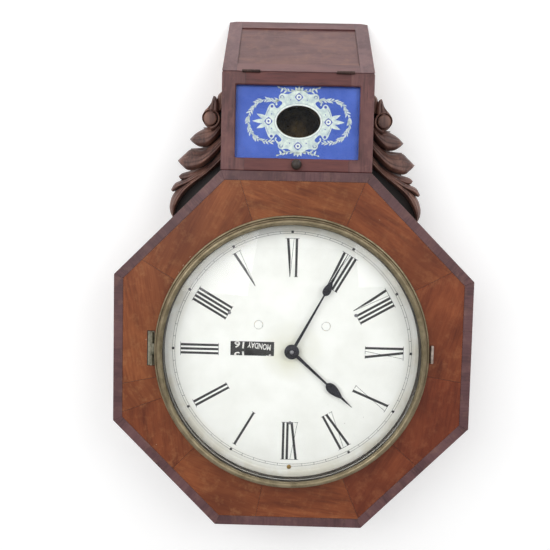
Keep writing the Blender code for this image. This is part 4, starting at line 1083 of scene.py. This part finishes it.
def make_tablet():
    low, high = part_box("tablet_glass")
    x0, z0 = -0.0014, -0.2757
    half = (0.0264, 0.0190)
    blue = Look("blue_field", Coat_Weight=0.15, Coat_Roughness=0.1)
    blue.shader.inputs["Specular IOR Level"].default_value = 0.2
    place = blue.place()
    cloud = blue.noise(place, 40.0, 4.0, 0.6)
    base = blue.ramp(cloud, (0.35, tone(52, 82, 168)), (0.65, tone(68, 98, 186)))
    flaws = blue.between(blue.noise(place, 210.0, 2.0), 0.76, 0.78)
    blue.colour(blue.mix(flaws, base, tone(24, 28, 60)))
    blue.rough(cloud, 0.25, 0.40)
    behind = high.y
    step = 0.0003
    field = slab([rectangle(low.x, high.x, low.z, high.z), ellipse(half[0], half[1], x0, z0)], behind,
                 behind - 0.0008)
    piece("tablet_field", field, blue.material, "door", "tablet_glass", "tablet_glass")

    silver = paint("silver_stencil", tone(172, 190, 192), tone(212, 224, 214), (0.35, 0.5), 260.0, 0.2)
    level = behind - 0.0008
    quarter = [(p.x, p.z) for p in through([(x, 0.0, z) for x, z in CARTOUCHE], 60)]
    upper = quarter + [(-x, z) for x, z in reversed(quarter[:-1])]
    outline = upper + [(x, -z) for x, z in reversed(upper[1:-1])]
    outline = [(x0 + x, z0 + z) for x, z in outline]
    cartouche = slab([outline, ellipse(half[0] + 0.0004, half[1] + 0.0004, x0, z0)], level, level - step)
    sprays = prisms(stencil_shapes(x0, z0), level, level - step)
    piece("tablet_stencil", joined([cartouche, sprays]), silver, "door", "tablet_glass")

    # blue details left open in the silver: rosettes, eyes, dots and curls
    top = level - step
    detail = []
    for x, z in ROSETTES:
        points = []
        for k in range(16):
            reach = (0.0050, 0.0042, 0.0040, 0.0042)[k % 4]
            points.append(on_circle(reach, 22.5 * k, x0 + x, z0 + z))
        detail.append(points)
    detail += mirrored([circle(0.0017, 0.0319, 0.0176, 16), circle(0.0007, 0.0098, 0.0254, 12),
                        circle(0.0007, 0.0320, 0.0086, 12), circle(0.0005, 0.0255, 0.0172, 12)], x0, z0)
    curl = scroll(0.0204, 0.0284, 0.0026, 200.0, -250.0, 0.0007)
    petal_line = band([(0.0345, 0.0150), (0.0372, 0.0105), (0.0386, 0.0060)], 0.0004)
    detail += mirrored(curl + petal_line, x0, z0)
    for x, z in ((-0.0478, -0.0390), (0.0644, 0.0323)):
        detail.append(circle(0.0008, x0 + x, z0 + z, 10))
    detail_top = top - 0.0001
    deep = paint("stencil_gaps", tone(44, 62, 150), tone(62, 84, 172), (0.3, 0.5), 300.0)
    piece("tablet_details", prisms(detail, level - 0.0001, detail_top), deep, "door", "tablet_glass")

    lines = []
    for x, z in ROSETTES:
        ring = [circle(0.0031, x0 + x, z0 + z, 32), circle(0.0013, x0 + x, z0 + z, 24)]
        lines.append(slab(ring, detail_top, detail_top - 0.0001))
    lines.append(slab([ellipse(half[0] + 0.0017, half[1] + 0.0019, x0, z0), ellipse(*half, x0, z0)],
                      top, top - 0.0002))
    pale = paint("silver_lines", tone(204, 214, 210), tone(228, 234, 226), (0.35, 0.5), 300.0, 0.2)
    piece("tablet_lines", joined(lines), pale, "door", "tablet_glass")
    rim = slab([ellipse(half[0] + 0.0023, half[1] + 0.0025, x0, z0),
                ellipse(half[0] + 0.0020, half[1] + 0.0022, x0, z0)], top, top - 0.0001)
    grey = paint("stencil_rim", tone(120, 128, 150), tone(146, 152, 166), (0.4, 0.6), 300.0)
    piece("tablet_rim_line", rim, grey, "door", "tablet_glass")
    pane = slab([rectangle(low.x, high.x, low.z, high.z)], top - 0.0004, low.y, 0.0001, 1)
    piece("tablet_pane", pane, clear_glass("door_glass", 1.26), "door", "tablet_glass")


def make_knob():
    low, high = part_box("door_knob")
    x, z = (low.x + high.x) / 2, (low.z + high.z) / 2
    tip = low.y
    knob = lathe([(0.0, tip), (0.0022, tip + 0.0001), (0.0042, tip + 0.0008), (0.0057, tip + 0.0022),
                  (0.0062, tip + 0.0036), (0.0058, tip + 0.0052), (0.0042, tip + 0.0068),
                  (0.0034, tip + 0.0080), (0.0044, tip + 0.0094), (0.0044, FRONT - 0.0003),
                  (0.0018, FRONT - 0.0003), (0.0018, high.y), (0.0, high.y)], x, z, 32, closed=False)
    look = wood("knob_wood", tone(30, 22, 18), tone(56, 42, 32), tone(84, 66, 46), "Y")
    piece("turned_knob", knob, look.material, "door", "black_steel", "door_knob")


# ---------------------------------------------------------------- carried-over nodes
def dress_nodes():
    """Gives every CAD node that stays in view its material."""
    drop = wood("drop_mahogany", tone(66, 36, 36), tone(102, 62, 60), tone(120, 78, 72), "Z",
                wear=tone(150, 104, 84), pores=0.3).material
    door = framed("door_mahogany", 0.0620, tone(66, 34, 34), tone(102, 62, 61), tone(120, 78, 72),
                  tone(232, 196, 192))
    foot = framed("foot_mahogany", 0.0730, tone(80, 50, 52), tone(108, 76, 78), tone(124, 90, 88),
                  tone(246, 232, 228))
    panel = wood("panel_mahogany", tone(84, 50, 50), tone(106, 70, 68), tone(126, 86, 72), "X",
                 pores=0.2).material
    # Painted shade and tarnish: the pendulum bob's brass is made dark, partly as old tarnish and partly to
    # stand for the shade inside the drop.
    bob_brass_tarnish_and_shade = metal("bob_brass_tarnish_and_painted_shade", tone(50, 40, 26), tone(84, 68, 42), (0.35, 0.55))
    softwood = pine()
    brass = metal("movement_brass", tone(132, 104, 52), tone(190, 158, 88))
    hinge_brass = metal("hinge_brass", tone(98, 96, 80), tone(156, 152, 134), (0.35, 0.55), 0.8)
    tab_metal = metal("tab_metal", tone(150, 136, 126), tone(206, 192, 182), (0.35, 0.55), 0.7)
    steel = metal("bright_steel", tone(104, 104, 108), tone(168, 168, 172))
    iron = metal("dark_iron", tone(38, 34, 32), tone(70, 64, 58), (0.50, 0.75), 0.6)
    hinge_dark = metal("painted_hinge", tone(40, 26, 24), tone(74, 52, 46), (0.45, 0.65), 0.3)
    spring = metal("spring_steel", tone(46, 50, 66), tone(88, 94, 116), (0.25, 0.40))
    black = paint("disc_black", tone(30, 30, 30), tone(48, 48, 47), (0.45, 0.65))
    white = dial_paint()
    looks = (
        (softwood, "back_board movement_block_left movement_block_right tablet_bead"),
        (drop, "head_ring drop_side_left drop_side_right"),
        (foot, "chisel_frame"),
        (panel, "chisel_panel"),
        (iron, "hanger_plate gong_stand strike_hammer"),
        (steel, "dial_screw_top dial_screw_right dial_screw_left verge pendulum_rod time_winding_arbor "
                "strike_winding_arbor"),
        (brass, "dial_pin movement_front_plate movement_back_plate suspension_post centre_wheel "
                "hour_wheel minute_wheel time_great_wheel second_wheel third_wheel escape_wheel "
                "rating_nut strike_great_wheel"),
        (hinge_brass, "bezel_hinge_plate bezel_leaf"),
        (hinge_dark, "case_leaf_left case_leaf_right door_leaf_left door_leaf_right"),
        (black, "calendar_plate day_disc date_ring"),
        (spring, "gong time_mainspring strike_mainspring"),
        (tab_metal, "bezel_tab"),
        (door, "door_frame"),
        (bob_brass_tarnish_and_shade, "pendulum_bob"),
        (white, "winding_plug_left winding_plug_right"),
    )
    for look, nodes in looks:
        for node in nodes.split():
            for holder in NODES[node].material_slots:
                holder.material = look


# ---------------------------------------------------------------- stage, light and camera
EYE = Vector((0.012, -0.899, -0.146))
TURN = Vector((-3.80, 1.31, 0.78))
LENS = 43.85
GLOW = 0.20


def area_light(name, place, aim, size, power):
    data = bpy.data.lights.new(name, "AREA")
    data.shape = "RECTANGLE"
    data.size, data.size_y = size
    data.energy = power
    made = bpy.data.objects.new(name, data)
    made.location = place
    made.rotation_euler = (Vector(aim) - Vector(place)).to_track_quat("-Z", "Y").to_euler()
    bpy.context.scene.collection.objects.link(made)


def one_sided(name, colour):
    """A pale matt surface that can't be seen from behind."""
    look = Look(name, Roughness=0.9, Emission_Strength=GLOW, Emission_Color=(1.0, 1.0, 1.0, 1.0))
    look.colour(colour)
    look.clear_where(look.add("NewGeometry").outputs["Backfacing"])
    return look.material


def sheet(name, corners, look):
    mesh = bpy.data.meshes.new(name)
    mesh.from_pydata(corners, [], [(0, 1, 2, 3)])
    mesh.materials.append(look)
    made = bpy.data.objects.new(name, mesh)
    bpy.context.scene.collection.objects.link(made)


def make_stage():
    y, reach, floor = 0.0015, 3.0, -0.95
    white = one_sided("backdrop_white", (0.90, 0.90, 0.90, 1.0))
    sheet("backdrop", [(-reach, y, floor), (reach, y, floor), (reach, y, reach), (-reach, y, reach)], white)
    sheet("floor", [(-reach, -reach, floor), (reach, -reach, floor), (reach, reach, floor),
                    (-reach, reach, floor)], white)
    world = bpy.data.worlds.new("studio")
    world.use_nodes = True
    world.node_tree.nodes["Background"].inputs["Color"].default_value = (1.0, 1.0, 1.0, 1.0)
    world.node_tree.nodes["Background"].inputs["Strength"].default_value = 0.62
    bpy.context.scene.world = world
    bpy.context.scene.view_settings.view_transform = "Standard"
    area_light("key", (0.85, -1.50, -0.80), (0.0, 0.0, -0.1), (1.3, 1.3), 13.5)
    area_light("fill", (-0.90, -1.45, -0.70), (0.0, 0.0, -0.1), (0.9, 0.9), 6.0)


def make_camera():
    """The viewpoint of a clock that lies head down: the picture's top is the clock's foot."""
    turn = Matrix.Rotation(math.radians(TURN.length), 3, TURN)
    rows = Matrix(((-1.0, 0.0, 0.0), (0.0, 0.0, 1.0), (0.0, 1.0, 0.0))) @ turn
    axes = Matrix((rows[0], -rows[1], -rows[2])).transposed()
    data = bpy.data.cameras.new("camera")
    data.sensor_width = 36.0
    data.lens = LENS
    data.clip_start = 0.01
    camera = bpy.data.objects.new("camera", data)
    camera.matrix_world = Matrix.Translation(EYE) @ axes.to_4x4()
    bpy.context.scene.collection.objects.link(camera)
    bpy.context.scene.camera = camera


make_camera()
make_stage()
dress_nodes()
make_octagon()
make_chips()
make_hinge_seat()
ear_wood = carved()
# Painted shade: a nearly black wood for the ground behind the carved leaves, standing for the shade in the
# deep recess there.
ear_recess_painted_shade = wood("ear_recess_painted_shade", tone(22, 14, 12), tone(34, 22, 20), tone(46, 30, 27), coat=0.0).material
make_ear(1, "right", ear_wood, ear_recess_painted_shade)
make_ear(-1, "left", ear_wood, ear_recess_painted_shade)
make_dial()
make_calendar()
make_hands()
make_bezel()
make_tablet()
make_knob()
